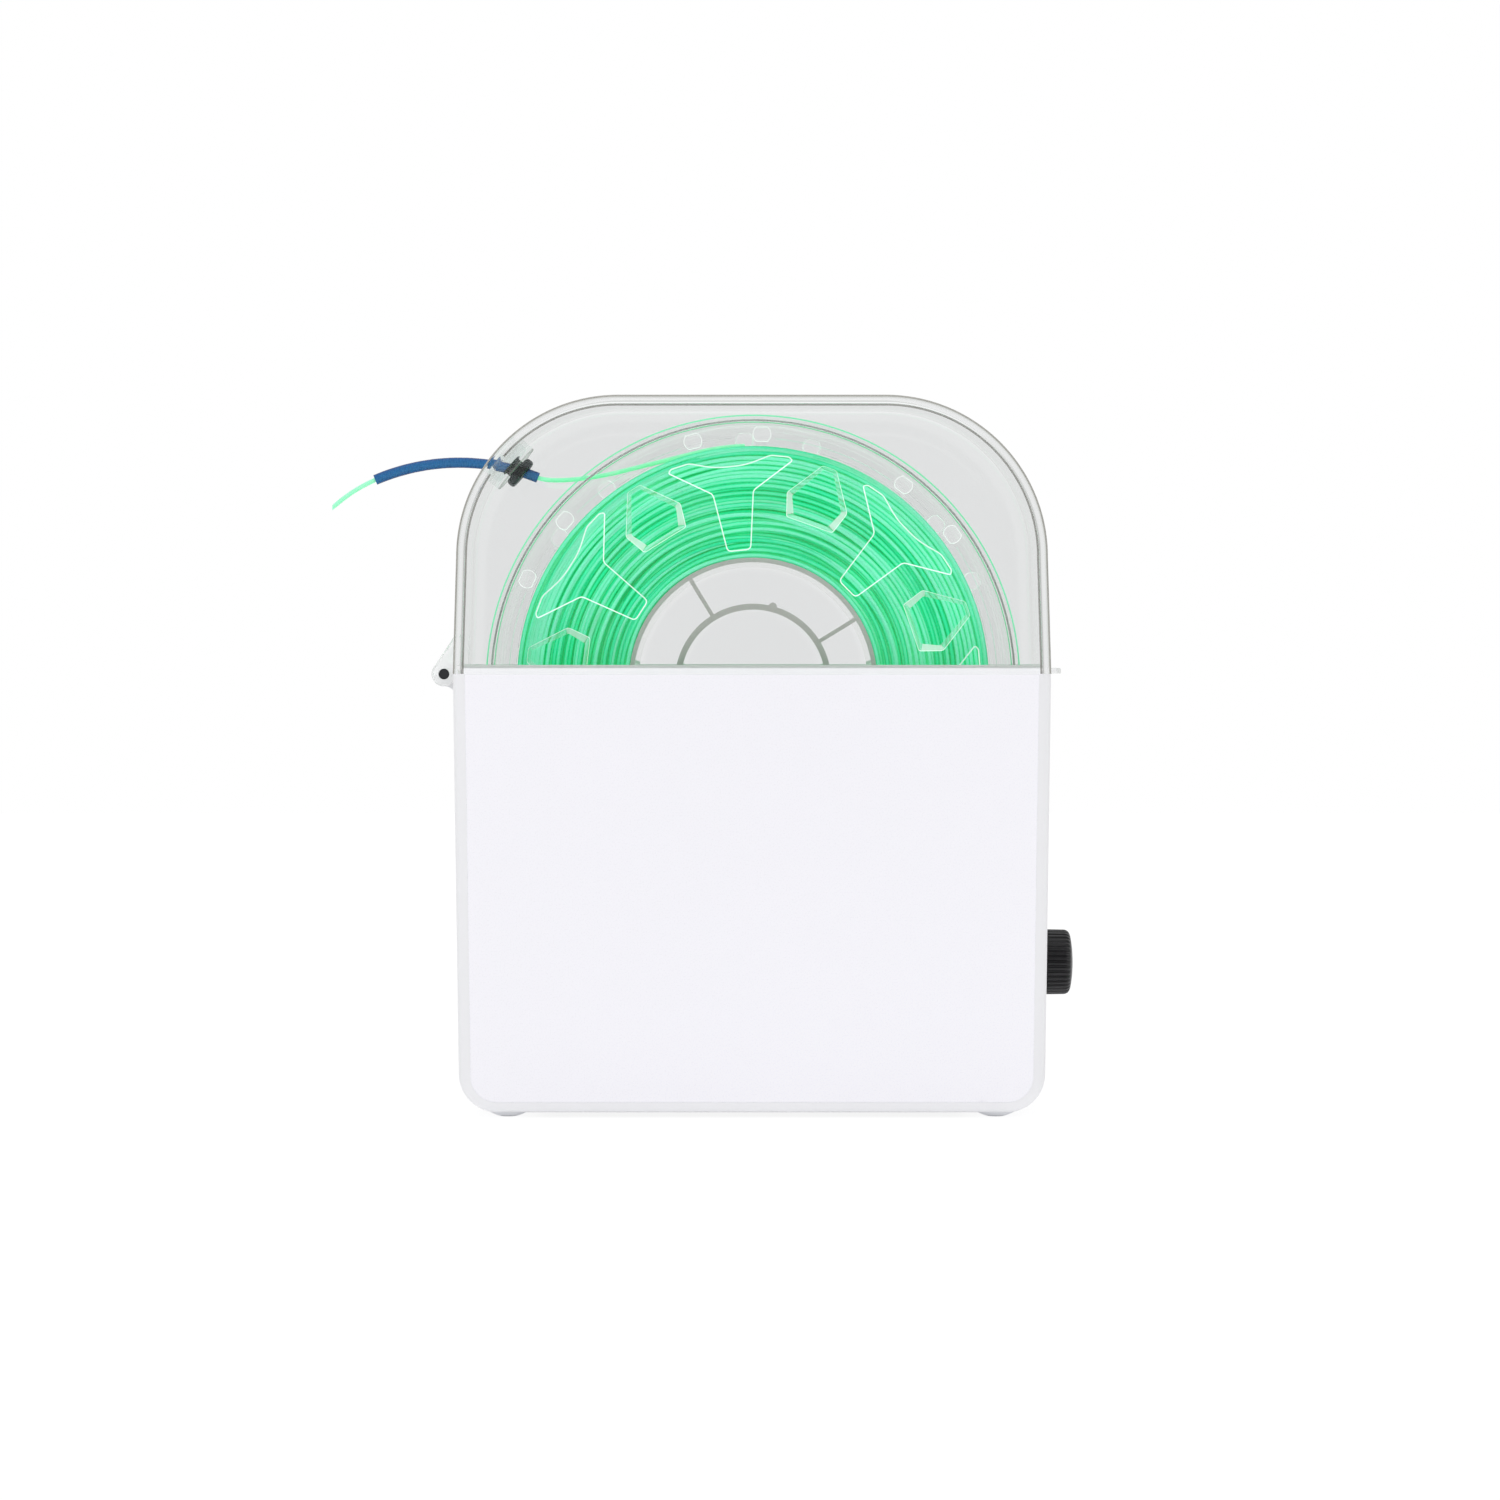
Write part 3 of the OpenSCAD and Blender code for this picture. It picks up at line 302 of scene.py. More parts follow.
def strand_material(name, dark, middle, light, glow, side_shade=0.0):
    """Translucent filament: tone varies from strand to strand and drifts along each one; the tone
    on the winding also carries painted shade where turns lie deeper.

    Colours are 8-bit sRGB; flank is how much painted shade darkens the sides of a strand, leaving
    a painted highlight along its middle.
    """
    rough = 0.3
    material, tree, surface = new_material(name)
    tone = node(tree, "Attribute", attribute_name="tone").outputs["Fac"]
    drift = noise(tree, 60.0, detail=2.0)
    centred = math_node(tree, "SUBTRACT", tone, 0.17)
    drifting = math_node(tree, "MULTIPLY_ADD", drift, 0.35, centred)
    # painted shade on the sides of each strand, painted highlight along its middle
    facing = node(tree, "LayerWeight", {"Blend": 0.5}).outputs["Facing"]
    sides = math_node(tree, "MULTIPLY_ADD", facing, -side_shade, side_shade * 0.42)
    total = math_node(tree, "ADD", drifting, sides)
    colour = ramp(tree, total, [(0.0, srgb(*dark)), (0.5, srgb(*middle)), (1.0, srgb(*light))])
    fine = noise(tree, 1200.0, detail=2.0)
    shader = node(tree, "BsdfPrincipled", {
        "Base Color": colour,
        "Emission Color": colour,
        "Emission Strength": glow,
        "Roughness": span(tree, fine, rough - 0.05, rough + 0.08),
        "Subsurface Weight": 0.35,
        "Subsurface Radius": (0.4, 1.0, 0.7),
        "Subsurface Scale": 0.002,
        "IOR": 1.46,
        "Coat Weight": 0.06,
        "Specular IOR Level": 0.35,
        "Coat Roughness": 0.2,
    })
    tree.links.new(shader.outputs[0], surface)
    return material


def tube_material():
    """Blue guide tube: painted shade darkens its sides and a painted highlight runs down its
    middle, with the fine rings left by extrusion.
    """
    material, tree, surface = new_material("tube_blue")
    facing = node(tree, "LayerWeight", {"Blend": 0.35}).outputs["Facing"]
    fine = noise(tree, 900.0, detail=2.0, stretch=(3.0, 0.6, 0.6))
    # painted highlight in the middle of the tube, painted shade towards its sides
    painted_side_shade = ramp(tree, facing, [(0.0, srgb(44, 112, 168)), (0.4, srgb(20, 76, 140)),
                                 (0.8, srgb(6, 34, 84))])
    grain = ramp(tree, fine, [(0.35, grey(0.6)), (0.65, grey(1.1))])
    shader = node(tree, "BsdfPrincipled", {
        "Base Color": multiply_colours(tree, painted_side_shade, grain, factor=0.35),
        "Roughness": span(tree, fine, 0.22, 0.36),
        "Normal": bump_normal(tree, fine, strength=0.25, distance=0.0001),
        "Subsurface Weight": 0.1,
        "Subsurface Scale": 0.001,
        "Specular IOR Level": 0.3,
    })
    tree.links.new(shader.outputs[0], surface)
    return material


def readout_material():
    material, tree, surface = new_material("readout")
    fine = noise(tree, 500.0, detail=2.0)
    inputs = {key: two_tones(tree, fine, srgb(120, 190, 225), srgb(170, 225, 245))
              for key in ("Base Color", "Emission Color")}
    inputs.update({"Emission Strength": 0.35, "Roughness": span(tree, fine, 0.3, 0.4)})
    tree.links.new(node(tree, "BsdfPrincipled", inputs).outputs[0], surface)
    return material


# ------------------------------------------------------------------ materials
# housing white, with painted bounce light as emission on faces that look down
WHITE = solid("housing_white", (243, 243, 245), rough=0.34, under=0.13, vary=0.008, grain=1500,
              bump=0.12, patch=9, rough_vary=0.05)
# painted light: a brighter white with emission for the body above the seam, seen through the lid
RIM_WHITE = solid("rim_white", (252, 252, 254), rough=0.34, vary=0.006, grain=1500, bump=0.1,
                  patch=9, glow=0.12)
# the panel's faint emission is painted light
PANEL = solid("panel_white", (250, 249, 254), rough=0.3, glow=0.012, vary=0.006, grain=1800,
              bump=0.10, patch=7, rough_vary=0.05)
COVER = solid("cover_white", (232, 232, 234), rough=0.5, vary=0.012, grain=1200, bump=0.35,
              patch=14)
CHAMBER = solid("chamber_white", (236, 236, 235), rough=0.45, vary=0.012, grain=1200, bump=0.25,
                patch=14)
SCREW = solid("screw_steel", (190, 191, 196), rough=0.3, metal=1.0, vary=0.05, grain=3000,
              bump=0.25, patch=300)
# white feet with emission: painted light
FOOT = solid("foot_rubber", (230, 231, 234), rough=0.5, glow=0.24, vary=0.02, grain=2500,
             bump=0.2, patch=200)
# painted shade: dark colour on the undersides of the feet
FOOT_SHADE = solid("foot_painted_shade", (70, 72, 76), rough=0.7, vary=0.06, grain=2500, bump=0.4, patch=200)
DUCT = solid("duct_grey", (92, 93, 97), rough=0.55, vary=0.04, grain=1600, bump=0.4, patch=30)
FAN = solid("fan_black", (40, 40, 43), rough=0.45, vary=0.06, grain=1600, bump=0.3, patch=50)
ROTOR = solid("rotor_grey", (58, 58, 62), rough=0.4, vary=0.05, grain=1600, bump=0.2, patch=50)
FIN = solid("heater_fins", (205, 207, 211), rough=0.32, metal=1.0, vary=0.05, grain=900,
            bump=0.2, patch=120, stretch=(1, 1, 8))
BRASS = solid("terminal_brass", (214, 182, 112), rough=0.28, metal=1.0, vary=0.05, grain=2000,
              bump=0.15, patch=200)
BOARD = solid("board_green", (28, 92, 52), rough=0.38, vary=0.12, grain=700, bump=0.5,
              patch=260, bump_dist=0.0001)
DARK = solid("display_dark", (30, 32, 36), rough=0.35, vary=0.06, grain=1500, bump=0.15, patch=60)
WINDOW = solid("window_dark", (16, 17, 20), rough=0.06, vary=0.1, grain=500, bump=0.02,
               patch=20, coat=0.6, rough_vary=0.02)
NICKEL = solid("encoder_metal", (196, 197, 200), rough=0.3, metal=1.0, vary=0.04, grain=1200,
               bump=0.2, patch=100, stretch=(6, 1, 1))
PLUNGER = solid("plunger_white", (226, 224, 216), rough=0.5, vary=0.03)
KNOB = solid("knob_black", (25, 25, 27), rough=0.36, vary=0.08, grain=2600, bump=0.3, patch=90,
             rough_vary=0.07)
JACK = solid("jack_black", (32, 32, 34), rough=0.4, vary=0.06, grain=2000, bump=0.2, patch=80)
LEAD_BLACK = solid("lead_black", (38, 38, 40), rough=0.5, vary=0.05, grain=1500, bump=0.2,
                   patch=100)
LEAD_RED = solid("lead_red", (176, 42, 36), rough=0.45, vary=0.06, grain=1500, bump=0.2,
                 patch=100)
LEAD_GREY = solid("lead_grey", (150, 150, 153), rough=0.5, vary=0.05, grain=1500, bump=0.2,
                  patch=100)
SENSOR = solid("sensor_white", (238, 238, 236), rough=0.45, vary=0.02, grain=1500, bump=0.2)
PIN = solid("pin_dark", (72, 72, 75), rough=0.35, metal=1.0, vary=0.06, grain=2500, bump=0.2,
            patch=150)
SEAL = solid("seal_silicone", (204, 209, 205), rough=0.55, vary=0.015, grain=1500, bump=0.15,
             patch=60, sss=0.2)
TREAD = solid("roller_rubber", (44, 44, 46), rough=0.7, vary=0.08, grain=1800, bump=0.6,
              patch=120)
AXLE = solid("axle_steel", (200, 201, 205), rough=0.22, metal=1.0, vary=0.04, grain=2200,
             bump=0.15, patch=90, stretch=(4, 0.3, 4))
RACE = solid("bearing_steel", (206, 208, 212), rough=0.18, metal=1.0, vary=0.03, grain=2600,
             bump=0.08, patch=200)
BALL = solid("ball_steel", (222, 223, 227), rough=0.06, metal=1.0, vary=0.02, grain=2600,
             bump=0.02, patch=300, rough_vary=0.03)
SPACER = solid("spacer_white", (225, 225, 225), rough=0.5, vary=0.02)

LID_CLEAR = clear("lid_clear", (0.985, 0.988, 0.986))
# painted shade: grey matt mixes draw the dark lines along the lid's front and inner edges
LID_FRONT_EDGE = clear("lid_edge_front", (0.95, 0.95, 0.94), rough=0.02, haze=0.7,
                       haze_colour=srgb(138, 135, 126))
LID_INNER_EDGE = clear("lid_edge_inner", (0.9, 0.9, 0.89), rough=0.02, haze=0.78,
                       haze_colour=srgb(132, 132, 125))
# painted highlight: pale matt mix with emission on the hinge arms
LID_ARM = clear("lid_arm", (0.98, 0.985, 0.98), rough=0.05, haze=0.45,
                haze_colour=(0.92, 0.93, 0.925, 1), glow=0.12)
# painted shade lines: a faint one on the thin walls round the port, a darker one round the port's
# rim
LID_THIN = film("lid_thin", (0.975, 0.99, 0.985), line=srgb(214, 224, 218), cover=0.02,
                shine=0.03)
LID_PORT_EDGE = film("lid_port_edge", (0.97, 0.98, 0.97), line=srgb(150, 156, 146), cover=0.4,
                     shine=0.05)


def spool_clear(name, colour, **finish):
    return clear(name, colour, ior=1.45, **finish)


SPOOL_CLEAR = spool_clear("spool_clear", (0.99, 0.995, 0.992))
# painted light: matt green-white mixes with emission draw the glowing edges of pockets, windows
# and holes
SPOOL_EDGE = spool_clear("spool_edge", (0.97, 0.985, 0.98), rough=0.06, haze=0.82,
                         haze_colour=(0.9, 1.0, 0.96, 1), glow=0.4)
SPOOL_POCKET = spool_clear("spool_pocket", (0.97, 0.985, 0.98), rough=0.08, haze=0.62,
                           haze_colour=(0.86, 1.0, 0.93, 1), glow=0.16)
# painted shade: a dark grey line near the rim of the front half
RIM_LINE = spool_clear("spool_rim_line", (0.85, 0.87, 0.86), rough=0.05, haze=0.55,
                       haze_colour=srgb(125, 134, 128))
SPOOL_SLOPE = spool_clear("spool_slope", (0.98, 0.99, 0.985), rough=0.02, haze=0.2,
                          haze_colour=(0.75, 1.0, 0.88, 1), glow=0.1)
HOLE_EDGE = spool_clear("spool_hole_edge", (0.97, 0.985, 0.98), rough=0.05, haze=0.75,
                        haze_colour=(0.95, 1.0, 0.98, 1), glow=0.42)
# painted light: green emission along the outer rim
RIM_EDGE = spool_clear("spool_rim_edge", (0.7, 0.97, 0.84), rough=0.05, haze=0.9,
                       haze_colour=srgb(126, 232, 178), glow=0.22)
HUB_END = spool_clear("spool_hub_end", (0.9, 0.9, 0.89), rough=0.1, haze=0.85,
                      haze_colour=srgb(188, 188, 183))
BARREL_END = spool_clear("spool_barrel_end", (0.95, 0.95, 0.94), rough=0.1, haze=0.7,
                         haze_colour=srgb(190, 190, 186))

GROMMET = smoke()
# emission on the filament is painted light; the winding's tone also carries painted shade
WOUND = strand_material("winding_green", dark=(0, 198, 118), middle=(0, 235, 160),
                        light=(124, 248, 200), glow=0.17, side_shade=0.85)
LOOSE = strand_material("filament_green", dark=(120, 240, 176), middle=(150, 247, 194),
                        light=(182, 251, 212), glow=0.2)
TUBE = tube_material()


# ------------------------------------------------------------------ mesh helpers, all in mm
def smooth(ob, angle=32):
    mesh = ob.data
    mesh.polygons.foreach_set("use_smooth", [True] * len(mesh.polygons))
    mesh.set_sharp_from_angle(angle=math.radians(angle))
    mesh.update()


def build(name, points, faces, *materials, angle=32, merge=1e-4):
    mesh = bpy.data.meshes.new(name)
    mesh.from_pydata([(x * MM, y * MM, z * MM) for x, y, z in points], [], faces)
    bm = bmesh.new()
    bm.from_mesh(mesh)
    if merge:
        bmesh.ops.remove_doubles(bm, verts=bm.verts, dist=merge * MM)
    bmesh.ops.recalc_face_normals(bm, faces=bm.faces)
    bm.to_mesh(mesh)
    bm.free()
    ob = bpy.data.objects.new(name, mesh)
    scene.collection.objects.link(ob)
    for material in materials:
        mesh.materials.append(material)
    smooth(ob, angle)
    return ob


def set_materials(ob, *materials):
    ob.data.materials.clear()
    for material in materials:
        ob.data.materials.append(material)


def paint(ob, materials, choose):
    """Gives every face the material that choose(face) picks from the list."""
    set_materials(ob, *materials)
    for face in ob.data.polygons:
        face.material_index = materials.index(choose(face))


def weighted(ob):
    """Keeps large flat faces optically flat next to rounded edges."""
    modifier = ob.modifiers.new("normals", "WEIGHTED_NORMAL")
    modifier.mode, modifier.weight, modifier.keep_sharp = "FACE_AREA", 100, True


def bevel(ob, width, segments, angle):
    modifier = ob.modifiers.new("edge", "BEVEL")
    modifier.width = width * MM
    modifier.segments = segments
    modifier.limit_method = "ANGLE"
    modifier.angle_limit = math.radians(angle)
    modifier.use_clamp_overlap = True
    modifier.harden_normals = True


def set_tones(ob, values):
    """Stores the strand tone that the filament materials read."""
    attribute = ob.data.attributes.new("tone", "FLOAT", "POINT")
    attribute.data.foreach_set("value", values)


def hand_over(ob, body, replaces=None):
    if replaces:
        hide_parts(replaces)
    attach(ob, body)


class Lofts:
    """Collects several closed lofts into one mesh."""

    def __init__(self):
        self.points, self.faces, self.tones = [], [], []

    def loft(self, rings, closed=False, tone=0.5):
        """Skins rings of equal count; closed joins the last to the first instead of capping."""
        n, base, count = len(rings[0]), len(self.points), len(rings)
        for ring in rings:
            self.points.extend(ring)
        for i in range(count if closed else count - 1):
            a, b = base + i * n, base + ((i + 1) % count) * n
            for j in range(n):
                j2 = (j + 1) % n
                self.faces.append((a + j, a + j2, b + j2, b + j))
        if not closed:
            self.faces.append(tuple(range(base, base + n)))
            self.faces.append(tuple(range(base + (count - 1) * n, base + count * n)))
        self.tones.extend(tone if isinstance(tone, list) else [tone] * (n * count))

    def revolve(self, profile, place, count=96, tone=0.5):
        """Turns a closed section of (radius, height) about the axis of place."""
        rings = []
        for i in range(count):
            a = 2 * math.pi * i / count
            rings.append([place(r * math.cos(a), r * math.sin(a), h) for r, h in profile])
        self.loft(rings, closed=True, tone=tone)

    def cylinder(self, place, radius, start, end, count=64):
        self.loft([circle(place, radius, h, count) for h in (start, end)])

    def tube(self, path, radius, sides, tone=0.5):
        """Round bar along a path, its section carried without twist."""
        points = [Vector(p) for p in path]
        last = len(points) - 1
        tangents = [(points[min(i + 1, last)] - points[max(i - 1, 0)]).normalized()
                    for i in range(len(points))]
        u = tangents[0].cross(Vector((0.13, 0.97, 0.2))).normalized()
        rings = []
        for p, t in zip(points, tangents):
            u = (u - t * u.dot(t)).normalized()
            v = t.cross(u)
            turns = [2 * math.pi * j / sides for j in range(sides)]
            rings.append([tuple(p + radius * (math.cos(a) * u + math.sin(a) * v)) for a in turns])
        self.loft(rings, tone=tone)

    def make(self, name, *materials, **options):
        return build(name, self.points, self.faces, *materials, **options)


# outlines are lists of two coordinates; at_x, at_y and at_z stand them up in space
def at_x(outline, x):
    return [(x, y, z) for y, z in outline]


def at_y(outline, y):
    return [(x, y, z) for x, z in outline]


def at_z(outline, z):
    return [(x, y, z) for x, y in outline]


def arc(x, z, radius, start, end, steps):
    """Points of an arc, angles in degrees."""
    turns = [math.radians(start + (end - start) * i / steps) for i in range(steps + 1)]
    return [(x + radius * math.cos(a), z + radius * math.sin(a)) for a in turns]


def rectangle(x0, x1, y0, y1):
    return [(x0, y0), (x1, y0), (x1, y1), (x0, y1)]


def round_rect(half_x, half_y, radius, steps=6):
    x, y = half_x - radius, half_y - radius
    return (arc(x, y, radius, 0, 90, steps) + arc(-x, y, radius, 90, 180, steps)
            + arc(-x, -y, radius, 180, 270, steps) + arc(x, -y, radius, 270, 360, steps))


def body_outline(side_inset, base_inset, top, steps=18):
    """Housing seen along Y: rounded lower corners, leaning ends, open-cornered top."""
    z = CORNER_R - (side_inset - base_inset)
    lean = (HALF_W_TOP - HALF_W_BASE) * (top - CORNER_R) / (SEAM_Z - CORNER_R)
    half = HALF_W_BASE + lean - side_inset
    x, radius = HALF_W_BASE - CORNER_R, CORNER_R - side_inset
    return (arc(-x, z, radius, 180, 270, steps) + arc(x, z, radius, 270, 360, steps)
            + [(half, top), (-half, top)])


def lid_outline(inset, low):
    """Lid seen along Y, from its lower edge up over both shoulders."""
    z = LID_TOP_Z - LID_R
    half = LID_HALF_W + (HALF_W_TOP - LID_HALF_W) * (z - low) / (z - SEAM_Z - 0.1) - inset
    x, radius = LID_HALF_W - LID_R, LID_R - inset
    return ([(-half, low)] + arc(-x, z, radius, 180, 90, 96) + arc(x, z, radius, 90, 0, 96)
            + [(half, low)])


# places turn (across, across, along) into a point, for round parts about an axis
def along_x(y, z):
    return lambda a, b, h: (h, y + a, z + b)


def along_y(x, z):
    return lambda a, b, h: (x + a, h, z + b)


def along_z(x, y):
    return lambda a, b, h: (x + a, y + b, h)


def along_port(a, b, h):
    cosine, sine = math.cos(PORT_ANGLE), math.sin(PORT_ANGLE)
    return (PORT_X + h * cosine - b * sine, a, PORT_Z + h * sine + b * cosine)


HINGE = along_y(HINGE_X, HINGE_Z)
SPOOL_AXIS = along_y(SPOOL_X, SPOOL_Z)


def circle(place, radius, height, count):
    turns = [2 * math.pi * i / count for i in range(count)]
    return [place(radius * math.cos(a), radius * math.sin(a), height) for a in turns]


def port_rings(profile, count):
    """Rings about the port's axis; profile is (radius, height above the lid's outer face)."""
    return [circle(along_port, r, LID_R + h, count) for r, h in profile]


def prism(name, rings, *materials):
    shape = Lofts()
    shape.loft(rings)
    return shape.make(name, *materials)


def cylinder(*dimensions):
    shape = Lofts()
    shape.cylinder(*dimensions)
    return shape.make("part")


def boolean(ob, other, operation):
    modifier = ob.modifiers.new("b", "BOOLEAN")
    modifier.operation, modifier.object, modifier.solver = operation, other, "EXACT"
    depsgraph = bpy.context.evaluated_depsgraph_get()
    new = bpy.data.meshes.new_from_object(ob.evaluated_get(depsgraph))
    ob.modifiers.clear()
    old = ob.data
    ob.data = new
    bpy.data.meshes.remove(old)
    used = other.data
    bpy.data.objects.remove(other)
    bpy.data.meshes.remove(used)
    bm = bmesh.new()
    bm.from_mesh(new)
    bmesh.ops.remove_doubles(bm, verts=bm.verts, dist=2e-3 * MM)
    bm.to_mesh(new)
    bm.free()


def cut(ob, other):
    boolean(ob, other, "DIFFERENCE")


def join(ob, other):
    boolean(ob, other, "UNION")


def cut_prism(ob, rings):
    cut(ob, prism("part", rings))


def join_prism(ob, rings):
    join(ob, prism("part", rings))


def cut_cylinder(ob, *dimensions):
    cut(ob, cylinder(*dimensions))


def convex_hull(points):
    points = sorted(set(points))

    def half(ordered):
        chain = []
        for p in ordered:
            while len(chain) > 1:
                a, b = chain[-2], chain[-1]
                if (b[0] - a[0]) * (p[1] - a[1]) - (b[1] - a[1]) * (p[0] - a[0]) > 0:
                    break
                chain.pop()
            chain.append(p)
        return chain[:-1]
    return half(points) + half(points[::-1])


# ------------------------------------------------------------------ housing
# rounding of the front and rear rims: (inset of the ends, distance in from the face)
BODY_RIM = [(4.6, 0.25), (4.2, 0.36), (3.3, 0.78), (2.3, 1.24), (1.55, 1.6),
            (1.0, 1.98), (0.58, 2.45), (0.27, 3.05), (0.08, 3.8), (0.0, 4.7)]


def body_block():
    def ring(inset, y):
        return at_y(body_outline(inset, inset * BASE_SHARE, SEAM_Z), y)
    rings = [ring(inset, -(HALF_D - depth)) for inset, depth in BODY_RIM]
    rings += [ring(inset, HALF_D - depth) for inset, depth in reversed(BODY_RIM)]
    ob = prism("housing_shell", rings, WHITE)
    cut_prism(ob, [at_y(body_outline(WALL, WALL, SEAM_Z + 5), y) for y in (-45.05, 45.05)])
    return ob


def add_tongue(ob):
    """Band under the seam and the tongue on it, with their common opening."""
    band = round_rect(HALF_W_TOP - 1.3, 47.4, 3)
    join_prism(ob, [at_z(band, z) for z in (SEAM_Z - 5, SEAM_Z)])
    steps = ((0, SEAM_Z - 1), (0, SEAM_Z + 2.2), (0.3, SEAM_Z + 2.5))  # inset, z
    join_prism(ob, [at_z(round_rect(TONGUE_X - inset, TONGUE_Y - inset, 1.6), z)
                    for inset, z in steps])
    opening = round_rect(TONGUE_X - TONGUE_WALL, TONGUE_Y - TONGUE_WALL, 1)
    cut_prism(ob, [at_z(opening, z) for z in (SEAM_Z - 6, SEAM_Z + 9)])


def add_knuckle(ob):
    """Middle hinge barrel and the web that carries it."""
    join(ob, cylinder(HINGE, BARREL_R, -KNUCKLE_HALF, KNUCKLE_HALF, 64))
    web = [(HINGE_X, HINGE_Z), (HINGE_X, HINGE_Z + 3.2), (-HALF_W_TOP - 0.05, SEAM_Z - 0.02),
           (-HALF_W_TOP + 1.4, SEAM_Z - 0.02), (-HALF_W_TOP + 1.4, SEAM_Z - 9.6)]
    web += arc(-HALF_W_TOP + 0.15 - 5, HINGE_Z - 9.65, 5, 0, 84, 14)
    join_prism(ob, [at_y(web, y) for y in (-KNUCKLE_HALF, KNUCKLE_HALF)])


def cut_openings(ob):
    # seats for the side panels
    seat = body_outline(RIM, RIM * BASE_SHARE, SEAM_Z + 9)
    for side in SIDES:
        cut_prism(ob, [at_y(seat, side * y) for y in (47.3, 52.0)])
    # underside opening, foot seats
    cut_prism(ob, [at_z(round_rect(80, 40, 6), z) for z in (-1, 2.9)])
    for sx, sy in CORNERS:
        cut_cylinder(ob, along_z(sx * FOOT_X, sy * FOOT_Y), 7.7, -1, 0.8)
    # window and knob hole in the +X end
    window = [(y, WINDOW_Z + z) for y, z in round_rect(WINDOW_HALF_Y, WINDOW_HALF_Z, 1.6)]
    cut_prism(ob, [at_x(window, x) for x in (HALF_W_BASE - 8, HALF_W_TOP + 3)])
    cut_cylinder(ob, along_x(0, KNOB_Z), 3.75, HALF_W_BASE - 8, HALF_W_TOP + 2)
    # inlet and a row of vents in the -X end
    cut_cylinder(ob, along_x(26, 22), 4.3, -HALF_W_TOP - 2, -HALF_W_BASE + 8)
    slot_half, slot_pitch = 1.3, 5.5
    slots = Lofts()
    for i in range(9):
        y = -40 + i * slot_pitch
        slot = [(y + slot_half + a, 28 + b) for a, b in round_rect(slot_half, 12, 1.2, 4)]
        slots.loft([at_x(slot, x) for x in (-HALF_W_TOP - 2, -HALF_W_BASE + 8)])
    cut(ob, slots.make("part"))
    # room for the lid's barrels, and the pin hole
    for side in SIDES:
        ends = sorted((side * KNUCKLE_HALF, side * 37))
        cut_cylinder(ob, HINGE, BARREL_R + HINGE_GAP, *ends)
    cut_cylinder(ob, HINGE, 2.02, -21, 21, 48)


def make_columns():
    """Columns that take the floor and cover screws, and the board's posts."""
    columns = Lofts()
    for sx, sy in CORNERS:
        x = sx * COLUMN_X
        columns.revolve([(1.25, 2.9), (4.2, 2.9), (4.2, 48.0), (1.25, 48.0)],
                        along_z(x, sy * COLUMN_Y), 32)
        web = rectangle(x - 1.2, x + 1.2, *sorted((sy * COLUMN_Y, sy * 45.2)))
        columns.loft([at_z(web, z) for z in (2.7, 47.9)])
    for sy in SIDES:
        for z in (40, 72):
            columns.revolve([(0.95, 99.65), (2.6, 99.65), (2.6, 109.6), (0.95, 109.6)],
                            along_x(sy * 26, z), 24)
    return columns.make("housing_columns", WHITE)


def make_body():
    ob = body_block()
    add_tongue(ob)
    add_knuckle(ob)
    cut_openings(ob)
    columns = make_columns()
    # faces above the seam get the brighter, emitting white: painted light
    paint(ob, [WHITE, RIM_WHITE],
          lambda face: RIM_WHITE if face.center.z / MM > SEAM_Z + 0.02 else WHITE)
    smooth(ob, 30)
    bevel(ob, width=0.22, segments=2, angle=40)
    hand_over(ob, "housing", replaces="body_shell")
    hand_over(columns, "housing")


def make_panel(name, node_name, side):
    # (extra inset, y) from the back of the panel out over its rounded edge
    steps = [(0.0, 47.8), (0.0, 49.74), (0.04, 49.86), (0.14, 49.95), (0.3, 49.99), (0.5, 50.0)]
    gap = 0.01
    rings = []
    for inset, y in steps:
        outline = body_outline(RIM + gap + inset, RIM * BASE_SHARE + gap + inset,
                               SEAM_Z - 0.05 - inset * 0.6, 22)
        rings.append(at_y(outline, side * y))
    ob = prism(name, rings, PANEL)
    if side < 0:
        # small notch low on the front panel
        notch = rectangle(86.0, 86.9, -52, -49.6)
        cut_prism(ob, [at_z(notch, z) for z in (3.0, 4.75)])
        set_materials(ob, PANEL)
    smooth(ob, 24)
    hand_over(ob, "housing", replaces=node_name)


def make_feet():
    radii = (3.8, 4.6, 5.4, 6.2, 6.9, 7.4, 7.6)
    dome_r, dome_z = 14.42, 12.1  # radius and centre height of the domed underside
    dome = [(r, dome_z - math.sqrt(dome_r ** 2 - r * r)) for r in radii]
    feet = Lofts()
    for sx, sy in CORNERS:
        feet.revolve([(0.0, -2.0), (3.0, -2.0)] + dome + [(7.6, 0.76), (0.0, 0.76)],
                     along_z(sx * FOOT_X, sy * FOOT_Y), 64)
    ob = feet.make("feet", angle=40)
    # the lowest faces of each foot take the painted underside shade
    paint(ob, [FOOT, FOOT_SHADE], lambda face: FOOT_SHADE if face.center.z < -1.7 * MM else FOOT)
    hand_over(ob, "housing", replaces="rubber_feet")


def make_window():
    # (inset, distance in from the face) over the rounded edge
    steps = [(0.0, 3.1), (0.0, 0.7), (0.12, 0.35), (0.45, 0.12), (0.7, 0.1)]
    rings = []
    for inset, depth in steps:
        outline = round_rect(WINDOW_HALF_Y - 0.2 - inset, WINDOW_HALF_Z - 0.2 - inset, 1.5)
        rings.append(at_x([(y, WINDOW_Z + z) for y, z in outline], WINDOW_X - depth))
    ob = prism("window", rings, WINDOW)
    smooth(ob, 24)
    hand_over(ob, "housing", replaces="display_window")


